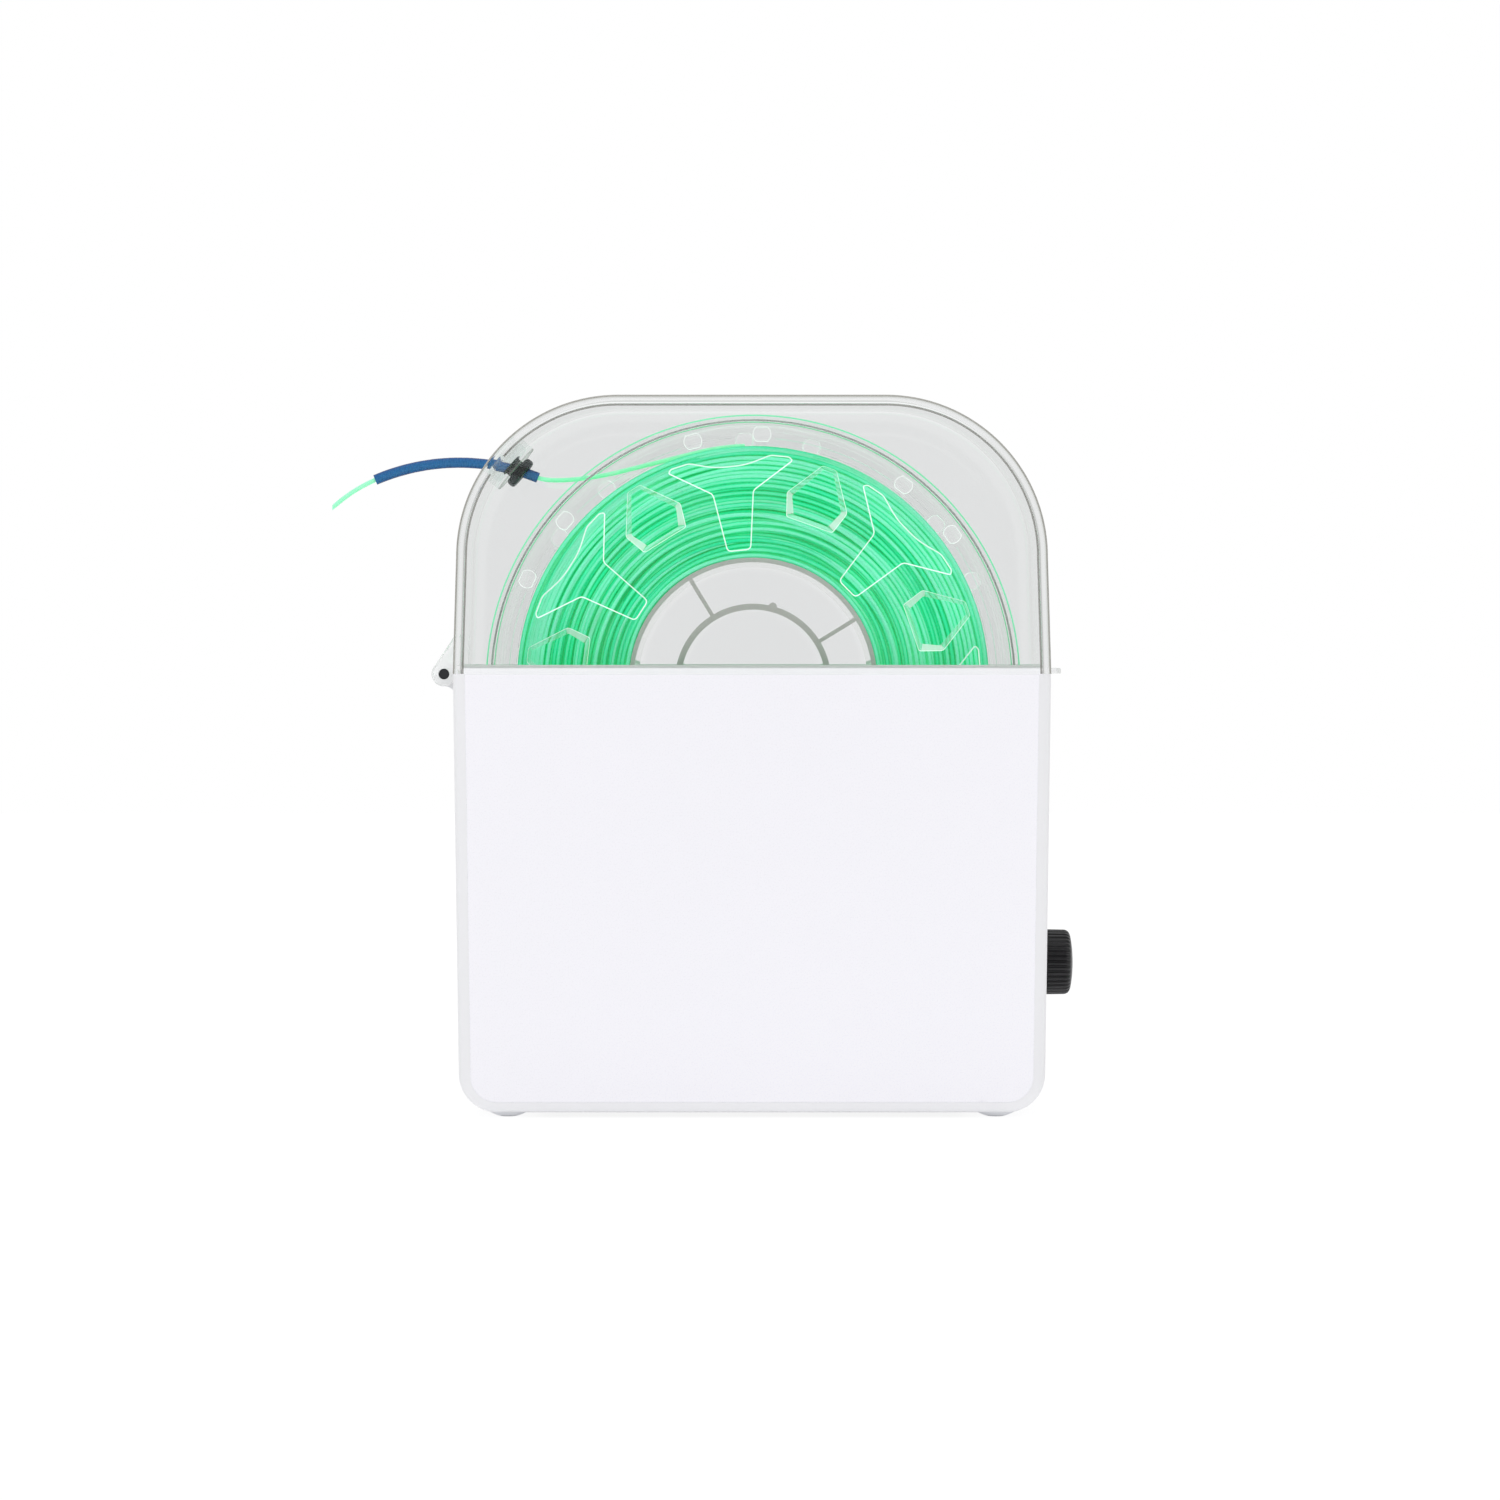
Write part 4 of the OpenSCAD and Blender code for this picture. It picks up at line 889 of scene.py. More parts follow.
# bars of a seven-segment digit: centre y, z and half sizes y, z
SEGMENTS = {
    "a": (0, 4.4, 2.3, 0.45), "d": (0, -4.4, 2.3, 0.45), "g": (0, 0, 2.3, 0.45),
    "b": (2.6, 2.2, 0.45, 1.9), "c": (2.6, -2.2, 0.45, 1.9),
    "f": (-2.6, 2.2, 0.45, 1.9), "e": (-2.6, -2.2, 0.45, 1.9),
}
# lit bars of each digit, and its centre y
DIGITS = (("acdfg", -16), ("abcdef", -8), ("bcfg", 8), ("abcdefg", 16))


def make_readout():
    """Lit bars on the smoked window."""
    bars = Lofts()
    for lit, digit_y in DIGITS:
        for segment in lit:
            y, z, half_y, half_z = SEGMENTS[segment]
            bar = [(digit_y + y + a, WINDOW_Z + z + b)
                   for a, b in round_rect(half_y, half_z, 0.3, 3)]
            bars.loft([at_x(bar, x) for x in (WINDOW_X - 0.12, WINDOW_X - 0.06)])
    hand_over(bars.make("readout_bars", readout_material()), "housing")


def make_knob():
    ribs, radius, rib_depth = 38, 12.5, 0.62
    back, front = KNOB_FACE_X + 0.8, KNOB_FACE_X + 12
    # inset of the radius, x, strength of the ribs
    profile = [
        (0.35, back, 0.5), (0.0, back + 0.35, 1.0), (0.0, back + 1.2, 1.0), (0.03, back + 4, 1.0),
        (0.1, front - 3.4, 1.0), (0.2, front - 2.8, 0.95), (0.42, front - 2.25, 0.8),
        (0.8, front - 1.75, 0.5), (1.35, front - 1.32, 0.18), (2.2, front - 0.98, 0.0),
        (4.0, front - 0.62, 0.0), (6.5, front - 0.28, 0.0), (9.5, front - 0.06, 0.0),
        (12.2, front, 0.0)]
    rib_shape = [1, 1, 0.93, 0.45, 0.0, 0.0, 0.45, 0.93]  # crest to groove, round one rib
    count = ribs * len(rib_shape)
    rings = []
    for inset, x, rib in profile:
        ring = []
        for i in range(count):
            a = 2 * math.pi * i / count
            groove = (1 - rib_shape[i % len(rib_shape)]) * rib_depth * rib
            r = radius - inset - groove
            ring.append((x, r * math.cos(a), KNOB_Z + r * math.sin(a)))
        rings.append(ring)
    knob = Lofts()
    knob.loft(rings)
    ob = knob.make("knob", KNOB, angle=50)
    # hollow back and shaft hole
    axis = along_x(0, KNOB_Z)
    hollow = Lofts()
    hollow.revolve([(5.2, back - 1), (10.2, back - 1), (10.2, back + 6), (5.2, back + 6)],
                   axis, 64)
    cut(ob, hollow.make("part"))
    cut_cylinder(ob, axis, 3.02, back - 1, back + 8.6)
    set_materials(ob, KNOB)
    smooth(ob, 38)
    hand_over(ob, "knob", replaces="control_knob")


def make_seal():
    """Strip that lies on top of the tongue."""
    low = SEAM_Z + 2.52
    section = [(0.0, 0.0), (0.0, 0.75), (0.2, 0.95), (1.5, 0.95), (1.7, 0.75), (1.7, 0.0)]
    rings = []
    for inset, height in section:
        outline = round_rect(TONGUE_X + 0.12 - inset, TONGUE_Y + 0.2 - inset,
                             1.8 if inset < 1.65 else 0.9)
        rings.append(at_z(outline, low + height))
    seal = Lofts()
    seal.loft(rings, closed=True)
    ob = seal.make("rim_seal_strip", SEAL, angle=50)
    hand_over(ob, "housing", replaces="rim_seal")


# ------------------------------------------------------------------ lid
def quarter(radius, step):
    """(1 - sin, 1 - cos) of a quarter turn, times the radius."""
    turns = [math.radians(q) for q in range(0, 91, step)]
    return [(radius - radius * math.sin(a), radius - radius * math.cos(a)) for a in turns]


def lid_block():
    edge = quarter(1.5, 10)
    # rear face: (inset, distance in from the face, lower edge z)
    rear = [(12.3, 0.35, LID_LOW_Z + 0.36), (11.9, 0.3, LID_LOW_Z + 0.34),
            (11.1, 0.05, LID_LOW_Z + 0.32), (10.7, 0.0, LID_LOW_Z + 0.3)]
    rear += [(inset, depth, LID_LOW_Z) for inset, depth in edge]
    rings = [at_y(lid_outline(inset, LID_LOW_Z), -(LID_HALF_D - depth)) for inset, depth in edge]
    rings += [at_y(lid_outline(inset, z), LID_HALF_D - depth)
              for inset, depth, z in reversed(rear)]
    ob = prism("lid", rings, LID_CLEAR)
    inner = [(inset, LID_HALF_D - LID_WALL - depth) for inset, depth in quarter(1.6, 15)]

    def hollow_ring(inset, y):
        return at_y(lid_outline(LID_WALL + inset, SEAM_Z - 6), y)
    cut_prism(ob, [hollow_ring(inset, -y) for inset, y in inner]
              + [hollow_ring(inset, y) for inset, y in reversed(inner)])
    return ob


def add_hinge_arms(ob):
    barrel = arc(HINGE_X, HINGE_Z, BARREL_R, 0, 360, 48)[:-1]
    arm = convex_hull(barrel + [
        (-HALF_W_TOP - 0.05, LID_LOW_Z), (-HALF_W_TOP + 0.5, LID_LOW_Z + 0.5),
        (-HALF_W_TOP + 0.4, SEAM_Z + 15), (-HALF_W_TOP + 1.8, SEAM_Z + 16)])
    mid_x = sum(x for x, z in arm) / len(arm)
    mid_z = sum(z for x, z in arm) / len(arm)

    def scaled(k):
        return [(mid_x + (x - mid_x) * k, mid_z + (z - mid_z) * k) for x, z in arm]
    for side in SIDES:
        y0, y1 = sorted((side * (KNUCKLE_HALF + HINGE_GAP), side * 36.0))
        join_prism(ob, [at_y(scaled(0.96), y0), at_y(scaled(1.0), y0 + 0.35),
                        at_y(scaled(1.0), y1 - 0.35), at_y(scaled(0.96), y1)])


def add_finger_tab(ob):
    """Tab with rounded corners on the lower +X edge."""
    tab = [(HALF_W_TOP - 1.5, -15), (HALF_W_TOP + 4.4, -15)]
    tab += arc(HALF_W_TOP + 4.2, -13.8, 1.2, 270, 360, 6)
    tab += arc(HALF_W_TOP + 4.2, 13.8, 1.2, 0, 90, 6) + [(HALF_W_TOP - 1.5, 15)]
    # height, inset of the free edge, scale of the width
    steps = ((0, 0.15, 0.99), (0.3, 0, 1), (1.7, 0, 1), (2.1, 0.3, 0.985))
    join_prism(ob, [[(x - (inset if x > HALF_W_TOP else 0), y * scale, LID_LOW_Z + height)
                     for x, y in tab] for height, inset, scale in steps])


def add_port(ob):
    """Cup sunk into the lid's corner, with its stepped bore."""
    cup = ((9.6, -8.4), (10.05, -8.2), (10.3, -7.75), (10.3, -0.9))
    bore = ((3.7, -12), (3.7, -6.2), (8.1, -6.2), (8.5, -5.8), (8.5, -0.7), (9.2, 0.3), (9.2, 10))
    join_prism(ob, port_rings(cup, 112))
    cut_prism(ob, port_rings(bore, 112))


def lid_material(face):
    """Picks out the edges, arms and port walls of the lid, which carry painted light and shade.
    """
    world_x, y, world_z = (c / MM for c in face.center)
    x, z = world_x - PORT_X, world_z - PORT_Z
    cosine, sine = math.cos(PORT_ANGLE), math.sin(PORT_ANGLE)
    # height over the lid's face and offset across, both about the port's axis
    height, across = x * cosine + z * sine - LID_R, -x * sine + z * cosine
    normal = face.normal
    along = normal.x * cosine + normal.z * sine
    tilt = abs(normal.y)
    port_r = math.hypot(across, y)
    from_front = y + LID_HALF_D
    if 9.6 < port_r < 10.4 and -8.45 < height < -7.6 and 0.1 < abs(along) < 0.98:
        return LID_PORT_EDGE
    if port_r < 10.6 and (-8.45 < height < 0.35 and abs(along) < 0.9 or -8.45 < height < -5):
        return LID_THIN
    if world_x < -HALF_W_TOP - 0.25 and world_z < SEAM_Z + 15:
        return LID_ARM
    if (abs(across - 3.2) < 4.4 and height > -7 and 0.05 < tilt < 0.998
            and abs(y) < LID_HALF_D - 2):
        return LID_THIN
    if y < 0 and 0.17 < from_front < 1.5 and tilt < 0.9 and world_z > LID_LOW_Z + 0.2:
        return LID_FRONT_EDGE
    if y < 0 and 0.9 < tilt < 0.998 and 0.004 < from_front - LID_WALL < 0.2:
        return LID_INNER_EDGE
    return LID_CLEAR


def make_lid():
    ob = lid_block()
    add_hinge_arms(ob)
    add_finger_tab(ob)
    add_port(ob)
    knuckle_room = KNUCKLE_HALF + HINGE_GAP
    cut_cylinder(ob, HINGE, BARREL_R + HINGE_GAP, -knuckle_room, knuckle_room, 64)
    cut_cylinder(ob, HINGE, 2.08, -60, 60, 48)
    paint(ob, [LID_CLEAR, LID_THIN, LID_FRONT_EDGE, LID_INNER_EDGE, LID_ARM, LID_PORT_EDGE],
          lid_material)
    smooth(ob, 30)
    weighted(ob)
    hand_over(ob, "lid", replaces="lid_shell")


# ------------------------------------------------------------------ feed tube and loose filament
def bend_point(degrees):
    """(x, z) on the arc of the feed tube."""
    a = math.radians(degrees)
    return (BEND_X + BEND_R * math.sin(a), BEND_Z + BEND_R * math.cos(a))


def make_feed_tube():
    """Tube with its wall, as one closed ring section carried along the arc."""
    sides, steps = 28, 90
    outer_r, bore_r = 2.0, 1.0
    points, faces = [], []
    for i in range(steps + 1):
        degrees = BEND_IN + (BEND_OUT - BEND_IN) * i / steps
        x, z = bend_point(degrees)
        sine, cosine = math.sin(math.radians(degrees)), math.cos(math.radians(degrees))
        waver = 0.012 * math.sin(i * 2.1) + 0.01 * math.sin(i * 0.7)
        for r in (outer_r + waver, bore_r):
            for j in range(sides):
                t = 2 * math.pi * j / sides
                points.append((x + sine * r * math.cos(t), r * math.sin(t),
                               z + cosine * r * math.cos(t)))
    ring = 2 * sides
    pairs = [(j, (j + 1) % sides) for j in range(sides)]
    for i in range(steps):
        a, b = i * ring, (i + 1) * ring
        c, d = a + sides, b + sides
        for j, j2 in pairs:
            faces.append((a + j, a + j2, b + j2, b + j))
            faces.append((c + j2, c + j, d + j, d + j2))
    for end in (0, steps * ring):
        inner = end + sides
        faces += [(end + j, end + j2, inner + j2, inner + j) for j, j2 in pairs]
    ob = build("feed_tube_skin", points, faces, TUBE, angle=40)
    hand_over(ob, "lid", replaces="feed_tube")


def make_grommet():
    """Flange inside, neck, small lip outside; its bore follows the tube."""
    # radius, height above the lid's outer face
    profile = [
        (4.9, -12.0), (5.7, -11.8), (6.1, -11.3), (6.25, -10.4), (6.15, -9.3), (5.8, -8.75),
        (5.3, -8.47), (3.66, -8.4), (3.66, -6.18), (4.2, -6.16), (4.5, -6.0), (4.55, -5.8),
        (4.35, -5.45), (3.6, -5.3)]
    ob = prism("port_grommet_ring", port_rings(profile, 56), GROMMET)
    path = [bend_point(BEND_IN + 2 - i * 0.8) for i in range(22)]
    bore = Lofts()
    bore.tube(at_y(path, 0.0), 2.1, 28)
    cut(ob, bore.make("part"))
    set_materials(ob, GROMMET)
    smooth(ob, 35)
    hand_over(ob, "lid", replaces="port_grommet")


def make_free_strand():
    """Filament from the winding to the mouth of the tube."""
    leave = 14  # degrees past the top of the winding where the strand leaves it
    lead_r = WIND_R + STRAND_R + 0.05

    def on_winding(degrees):
        a = math.radians(degrees)
        return Vector((SPOOL_X - lead_r * math.sin(a), SPOOL_Z + lead_r * math.cos(a)))
    heading = Vector((-math.cos(math.radians(leave)), -math.sin(math.radians(leave))))
    start = on_winding(leave)
    straight_end = start + 31 * heading
    mouth = Vector(bend_point(BEND_IN))
    pull = 20  # length of the end tangents of the curve into the tube
    mouth_angle = math.radians(BEND_IN)
    pull_out = pull * heading
    pull_in = pull * Vector((-math.cos(mouth_angle), math.sin(mouth_angle)))
    # start a little back along the winding so that the strand seems to peel off it
    path = [on_winding(degrees) for degrees in (2, 5, 8, 11)]
    path += [start + (straight_end - start) * i / 14 for i in range(14)]
    for i in range(25):
        t = i / 24
        path.append(straight_end * (2 * t ** 3 - 3 * t ** 2 + 1)
                    + pull_out * (t ** 3 - 2 * t ** 2 + t)
                    + mouth * (3 * t ** 2 - 2 * t ** 3)
                    + pull_in * (t ** 3 - t ** 2))
    # it starts a little forward and comes to the middle plane by the 20th point
    points = [(p.x, -0.35 * (1 - min(1, i / 20)), p.y) for i, p in enumerate(path)]
    shape = Lofts()
    shape.tube(points, STRAND_R, 16)
    ob = shape.make("filament_strand", LOOSE, angle=60)
    set_tones(ob, [0.45 + 0.1 * math.sin(i * 0.01) for i in range(len(ob.data.vertices))])
    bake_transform(ob)


def make_tail():
    """Filament inside the tube and its loose tail outside, which curls the same way."""
    curl_r, curl_turn, sides = 57.3, 19.4, 16
    out = math.radians(BEND_OUT)
    centre = Vector(bend_point(BEND_OUT)) - curl_r * Vector((math.sin(out), math.cos(out)))
    path = [Vector(bend_point(BEND_IN + (BEND_OUT - BEND_IN) * i / 40)) for i in range(41)]
    for i in range(1, 15):
        a = out - math.radians(curl_turn * i / 14)
        path.append(centre + curl_r * Vector((math.sin(a), math.cos(a))))
    tail = Lofts()
    tail.tube([(p.x, 0.0, p.y) for p in path], STRAND_R, sides)
    # snip: the end face stands upright
    last = tail.points[-sides:]
    snip_x = min(x for x, y, z in last) + 0.25
    tail.points[-sides:] = [(snip_x, y, z + (snip_x - x) * 0.62) for x, y, z in last]
    ob = tail.make("filament_tail", LOOSE, angle=60)
    set_tones(ob, [0.6] * len(ob.data.vertices))
    hand_over(ob, "lid", replaces="filament_lead")


# ------------------------------------------------------------------ spool
SECTORS = 7
ARM_TURN, HOUSE_TURN = 6, -19.7  # degrees of the first pocket and the first window from up
# right halves of the outlines, as (across, distance from the spool's axis)
ARM_POCKET = [(4.2, 50.4), (7.5, 72.4), (23.4, 82.0), (22.4, 83.2), (15.5, 84.6),
              (11.9, 83.55), (8.3, 82.6), (5.5, 82.1), (3.0, 81.9)]
HOUSE_OUTER = [(9.1, 63.4), (12.0, 72.0), (2.7, 86.0)]
HOUSE_INNER = [(6.9, 65.0), (9.9, 71.6), (1.9, 84.9)]
HOLE_R, HOLE_FLAT, HOLE_DISTANCE, HOLE_TURN = 3.3, 2.6, 94.0, 8.05


def mirrored(outline):
    return outline + [(-x, y) for x, y in reversed(outline)]


def rounded(outline, radius):
    """Corners replaced by short curves."""
    steps = 4
    out, n = [], len(outline)
    for i in range(n):
        corner, before, after = (Vector(outline[k]) for k in (i, i - 1, (i + 1) % n))
        back, ahead = before - corner, after - corner
        reach = min(radius, back.length * 0.4, ahead.length * 0.4)
        start, end = corner + back.normalized() * reach, corner + ahead.normalized() * reach
        for k in range(steps + 1):
            t = k / steps
            q = start * (1 - t) ** 2 + corner * 2 * t * (1 - t) + end * t * t
            out.append((q.x, q.y))
    return out


def turned(outline, degrees):
    a = math.radians(degrees)
    c, s = math.cos(a), math.sin(a)
    return [(x * c - y * s, x * s + y * c) for x, y in outline]


def hole_outline():
    """Round hole with two flats."""
    a = math.degrees(math.asin(HOLE_FLAT / HOLE_R))
    return arc(0, 0, HOLE_R, -a, a, 8) + arc(0, 0, HOLE_R, 180 - a, 180 + a, 8)


def grown(outline, distance):
    """Outline pushed outwards."""
    n = len(outline)
    area = sum(outline[i - 1][0] * outline[i][1] - outline[i][0] * outline[i - 1][1]
               for i in range(n))
    sign = 1 if area > 0 else -1
    out = []
    for i in range(n):
        a, b, c = (Vector(outline[k]) for k in (i - 1, i, (i + 1) % n))
        edge1, edge2 = (b - a).normalized(), (c - b).normalized()
        normal1 = Vector((edge1.y, -edge1.x)) * sign
        normal2 = Vector((edge2.y, -edge2.x)) * sign
        mitre = (normal1 + normal2) / max(0.3, 1 + normal1.dot(normal2))
        out.append((b.x + distance * mitre.x, b.y + distance * mitre.y))
    return out


def flange_profile(side, y_out, y_in):
    """(radius, y) round hub, flange and barrel of one half."""
    lip, middle = y_out + side * 0.03, side * 0.02
    return [
        (BORE_R, lip), (HUB_R, lip), (HUB_R, y_out), (BARREL_IN_R, y_out), (BARREL_IN_R, lip),
        (CORE_R, lip), (CORE_R, y_out), (SPOOL_R - 0.6, y_out),
        (SPOOL_R - 0.02, y_out - side * 0.5), (SPOOL_R - 0.02, y_in - side * 0.7),
        (SPOOL_R - 0.3, y_in - side * 1.0), (99.7, y_in - side * 1.0),
        (99.3, y_in - side * 0.7), (98.9, y_in - side * 0.15), (98.9, y_in), (CORE_R, y_in),
        (CORE_R, middle), (CORE_R - 3.1, middle), (BARREL_IN_R, y_in), (HUB_R, y_in),
        (HUB_R, middle), (BORE_R, middle)]


def flange_cutters(side, mirror, y_out, y_in):
    """Pockets, windows with sloping walls, pairs of holes near the rim and shallow arcs."""
    chamfer = 0.44

    def put(outline, degrees):
        return [(SPOOL_X + mirror * x, SPOOL_Z + y) for x, y in turned(outline, degrees)]

    def hole_at(outline, degrees):
        return put([(x, z + HOLE_DISTANCE) for x, z in outline], degrees)
    shapes = Lofts()
    for i in range(SECTORS):
        arm_angle = i * 360 / SECTORS + ARM_TURN
        arm = rounded(mirrored(ARM_POCKET), 1.4)
        wide, exact = put(grown(arm, 2 * chamfer), arm_angle), put(arm, arm_angle)
        shapes.loft([at_y(wide, y_out + side * chamfer), at_y(exact, y_out - side * chamfer),
                     at_y(exact, y_in + side * chamfer), at_y(wide, y_in - side * chamfer)])

        angle = i * 360 / SECTORS + HOUSE_TURN
        outer = put(rounded(mirrored(HOUSE_OUTER), 0.9), angle)
        inner = put(rounded(mirrored(HOUSE_INNER), 0.5), angle)
        # share of the way from outer to inner outline, y
        levels = ((-0.24, y_out + side * 0.28), (0.0, y_out - side * 0.22),
                  (1.0, y_out - side * 1.9), (1.0, y_in - side * 0.5))
        shapes.loft([at_y([(ox + (nx - ox) * k, oz + (nz - oz) * k)
                           for (ox, oz), (nx, nz) in zip(outer, inner)], y) for k, y in levels])

        for turn in (-HOLE_TURN, HOLE_TURN):
            hole = hole_at(hole_outline(), arm_angle + turn)
            mouth = hole_at(grown(hole_outline(), 0.45), arm_angle + turn)
            shapes.loft([at_y(mouth, y_out + side * 0.22), at_y(hole, y_out - side * 0.22),
                         at_y(hole, y_in - side * 0.5)])

        middle = 90 + mirror * angle
        start, end = middle - 14.6, middle + 14.6
        shapes.loft([at_y(arc(SPOOL_X, SPOOL_Z, 95.1 + grow, start, end, 40)
                          + arc(SPOOL_X, SPOOL_Z, 92.6 - grow, end, start, 40), y)
                     for grow, y in ((0.3, y_out + side * 0.3), (0.0, y_out - side * 0.16))])
    return shapes.make("part", merge=0)


def hub_bars(side, y_out):
    """Four bars between hub and barrel, and the locating nub on the hub ring."""
    bars = Lofts()
    section = rectangle(HUB_R - 0.6, BARREL_IN_R + 0.45, -0.75, 0.75)
    for i in range(4):
        bar = [(SPOOL_X + x, SPOOL_Z + z) for x, z in turned(section, i * 90 - 58.5)]
        bars.loft([at_y(bar, y) for y in (y_out - side * 0.04, side * 0.05)])
    a, nub_r = math.radians(75.3), BORE_R + 2.1
    bars.cylinder(along_y(SPOOL_X + nub_r * math.cos(a), SPOOL_Z + nub_r * math.sin(a)), 1.6,
                  *sorted((y_out - side * 0.4, y_out - side * 5)), 24)
    return bars.make("part", merge=0)


def spool_material(mesh, face, side, mirror):
    """Picks out the edges, slopes and end faces of a spool half; the edges and slopes carry
    painted light and shade.
    """
    x, z = mirror * (face.center.x / MM - SPOOL_X), face.center.z / MM - SPOOL_Z
    y = face.center.y / MM * side
    radius = math.hypot(x, z)
    tilt = abs(face.normal.y)
    outside, inside = SPOOL_W / 2, SPOOL_W / 2 - FLANGE
    if tilt >= 0.93:
        corners = [mesh.vertices[i].co for i in face.vertices]
        radii = [math.hypot(p.x / MM - SPOOL_X, p.z / MM - SPOOL_Z) for p in corners]
        low, high = min(radii), max(radii)
        if y <= outside - 0.5:
            return SPOOL_CLEAR
        if (low > BORE_R - 0.1 and high < HUB_R + 0.05
                or low > HUB_R - 0.7 and high < BARREL_IN_R + 0.12):
            return HUB_END
        if low > BARREL_IN_R - 0.05 and high < CORE_R + 0.05:
            return BARREL_END
        return SPOOL_CLEAR
    from_window = math.degrees(math.atan2(-x, z)) - HOUSE_TURN
    if radius > SPOOL_R - 0.9 and y > inside + 0.3:
        return RIM_EDGE
    if 98.8 < radius < 99.8 and side < 0:
        return RIM_LINE
    if 90 < radius < 97.6 and y > inside + 0.2:
        if tilt <= 0.3:
            return SPOOL_CLEAR
        off = (from_window + 180 / SECTORS) % (360 / SECTORS) - 180 / SECTORS
        return SPOOL_SLOPE if abs(off) < 15.3 else HOLE_EDGE
    if 48.5 < radius < 89 and y > inside - 0.1:
        if y > outside - 0.26 or y < inside + 0.24 or tilt < 0.3:
            return SPOOL_EDGE
        # turn the nearest window upright to tell its lower corners from its slopes
        t = math.radians(-(round(from_window * SECTORS / 360) * 360 / SECTORS + HOUSE_TURN))
        across = x * math.cos(t) - z * math.sin(t)
        outward = x * math.sin(t) + z * math.cos(t)
        return SPOOL_POCKET if outward < 73 and abs(across) > 8.2 else SPOOL_SLOPE
    return SPOOL_CLEAR


def make_spool_half(name, node_name, side):
    """side is -1 for the front half and 1 for the rear, whose cut-outs are mirrored in X."""
    y_out, y_in = side * SPOOL_W / 2, side * (SPOOL_W / 2 - FLANGE)
    mirror = -side
    half = Lofts()
    half.revolve(flange_profile(side, y_out, y_in), SPOOL_AXIS, 256)
    ob = half.make(name, SPOOL_CLEAR, angle=28)
    cut(ob, flange_cutters(side, mirror, y_out, y_in))
    # open ring between hub and barrel
    opening = Lofts()
    opening.revolve([(HUB_R - 0.04, y_out + side), (BARREL_IN_R + 0.04, y_out + side),
                     (BARREL_IN_R + 0.04, y_in - side * 0.01),
                     (HUB_R - 0.04, y_in - side * 0.01)], SPOOL_AXIS, 192)
    cut(ob, opening.make("part"))
    join(ob, hub_bars(side, y_out))
    mesh = ob.data
    paint(ob, [SPOOL_CLEAR, SPOOL_EDGE, RIM_EDGE, SPOOL_POCKET, HUB_END, BARREL_END, SPOOL_SLOPE,
               RIM_LINE, HOLE_EDGE], lambda face: spool_material(mesh, face, side, mirror))
    smooth(ob, 28)
    weighted(ob)
    hand_over(ob, "spool", replaces=node_name)


# ------------------------------------------------------------------ winding
STRAND_SIDES = 8
WIND_HALF = SPOOL_W / 2 - FLANGE - 1.1


def strand_ring(shape, path, tones):
    """One closed turn of filament round the spool; path is a list of (angle, radius, y)."""
    n = len(path)
    points = [Vector((r * math.cos(a), y, r * math.sin(a))) for a, r, y in path]
    turns = [2 * math.pi * j / STRAND_SIDES for j in range(STRAND_SIDES)]
    rings, ring_tones = [], []
    for i, p in enumerate(points):
        t = (points[(i + 1) % n] - points[i - 1]).normalized()
        u = Vector((p.x, 0, p.z)).normalized()
        u = (u - t * u.dot(t)).normalized()
        w = t.cross(u)
        rings.append([(SPOOL_X + p.x + STRAND_R * (math.cos(q) * u.x + math.sin(q) * w.x),
                       p.y + STRAND_R * (math.cos(q) * u.y + math.sin(q) * w.y),
                       SPOOL_Z + p.z + STRAND_R * (math.cos(q) * u.z + math.sin(q) * w.z))
                      for q in turns])
        ring_tones.extend([tones[i]] * STRAND_SIDES)
    shape.loft(rings, closed=True, tone=ring_tones)


def soft_step(x):
    """Smooth rise from 0 to 1 about x = 0."""
    return 1 / (1 + math.exp(-max(-30, min(30, x))))


def add_row_strand(shape, rng, start_r, pitch, depth, outer, y_face, side, segments):
    """One wavering turn, which may climb over a neighbour to the next row and back."""
    sin = math.sin
    phase = [rng.uniform(0, 2 * math.pi) for _ in range(6)]
    waver = rng.uniform(0.12, 0.34) * (0.7 if outer else 1.0)
    climb = rng.random() < (0.55 if depth == 0 else 0.3)
    up_at = math.radians(rng.uniform(10, 170))
    down_at = math.radians(rng.uniform(200, 340))
    up_width, down_width = math.radians(rng.uniform(10, 30)), math.radians(12)
    step = pitch * rng.choice((1, -1)) * rng.uniform(0.5, 1.05) if climb else 0.0
    sink = (0.0, 1.25, 2.3)[depth] + rng.uniform(0, 0.5)
    # painted shade: deeper layers get darker tones; outer rows are lighter
    tone = (0.56, 0.3, 0.06)[depth] + rng.gauss(0, 0.17) + (0.14 if outer else 0.0)
    path, tones = [], []
    for i in range(segments):
        a = 2 * math.pi * i / segments
        moved = soft_step((a - up_at) / up_width * 3) - soft_step((a - down_at) / down_width * 3)
        hop = math.exp(-((a - up_at) / up_width) ** 2) if climb else 0.0
        r = start_r + step * moved + waver * (
            sin(2 * a + phase[0]) + 0.7 * sin(3 * a + phase[1])
            + 0.4 * sin(5 * a + phase[2]) + 0.2 * sin(9 * a + phase[3]))
        inward = sink - 0.9 * hop + 0.25 * sin(a + phase[4]) + 0.15 * sin(4 * a + phase[5])
        y = y_face - side * max(0.0, inward)
        path.append((a, min(WIND_R - 0.95, max(CORE_R + 0.95, r)), y))
        # a strand lifted over its neighbour is painted lighter
        shade = tone + 0.1 * sin(2 * a + phase[2]) + 0.07 * sin(5 * a + phase[4]) + 0.12 * hop
        tones.append(min(1, max(0, shade)))
    strand_ring(shape, path, tones)


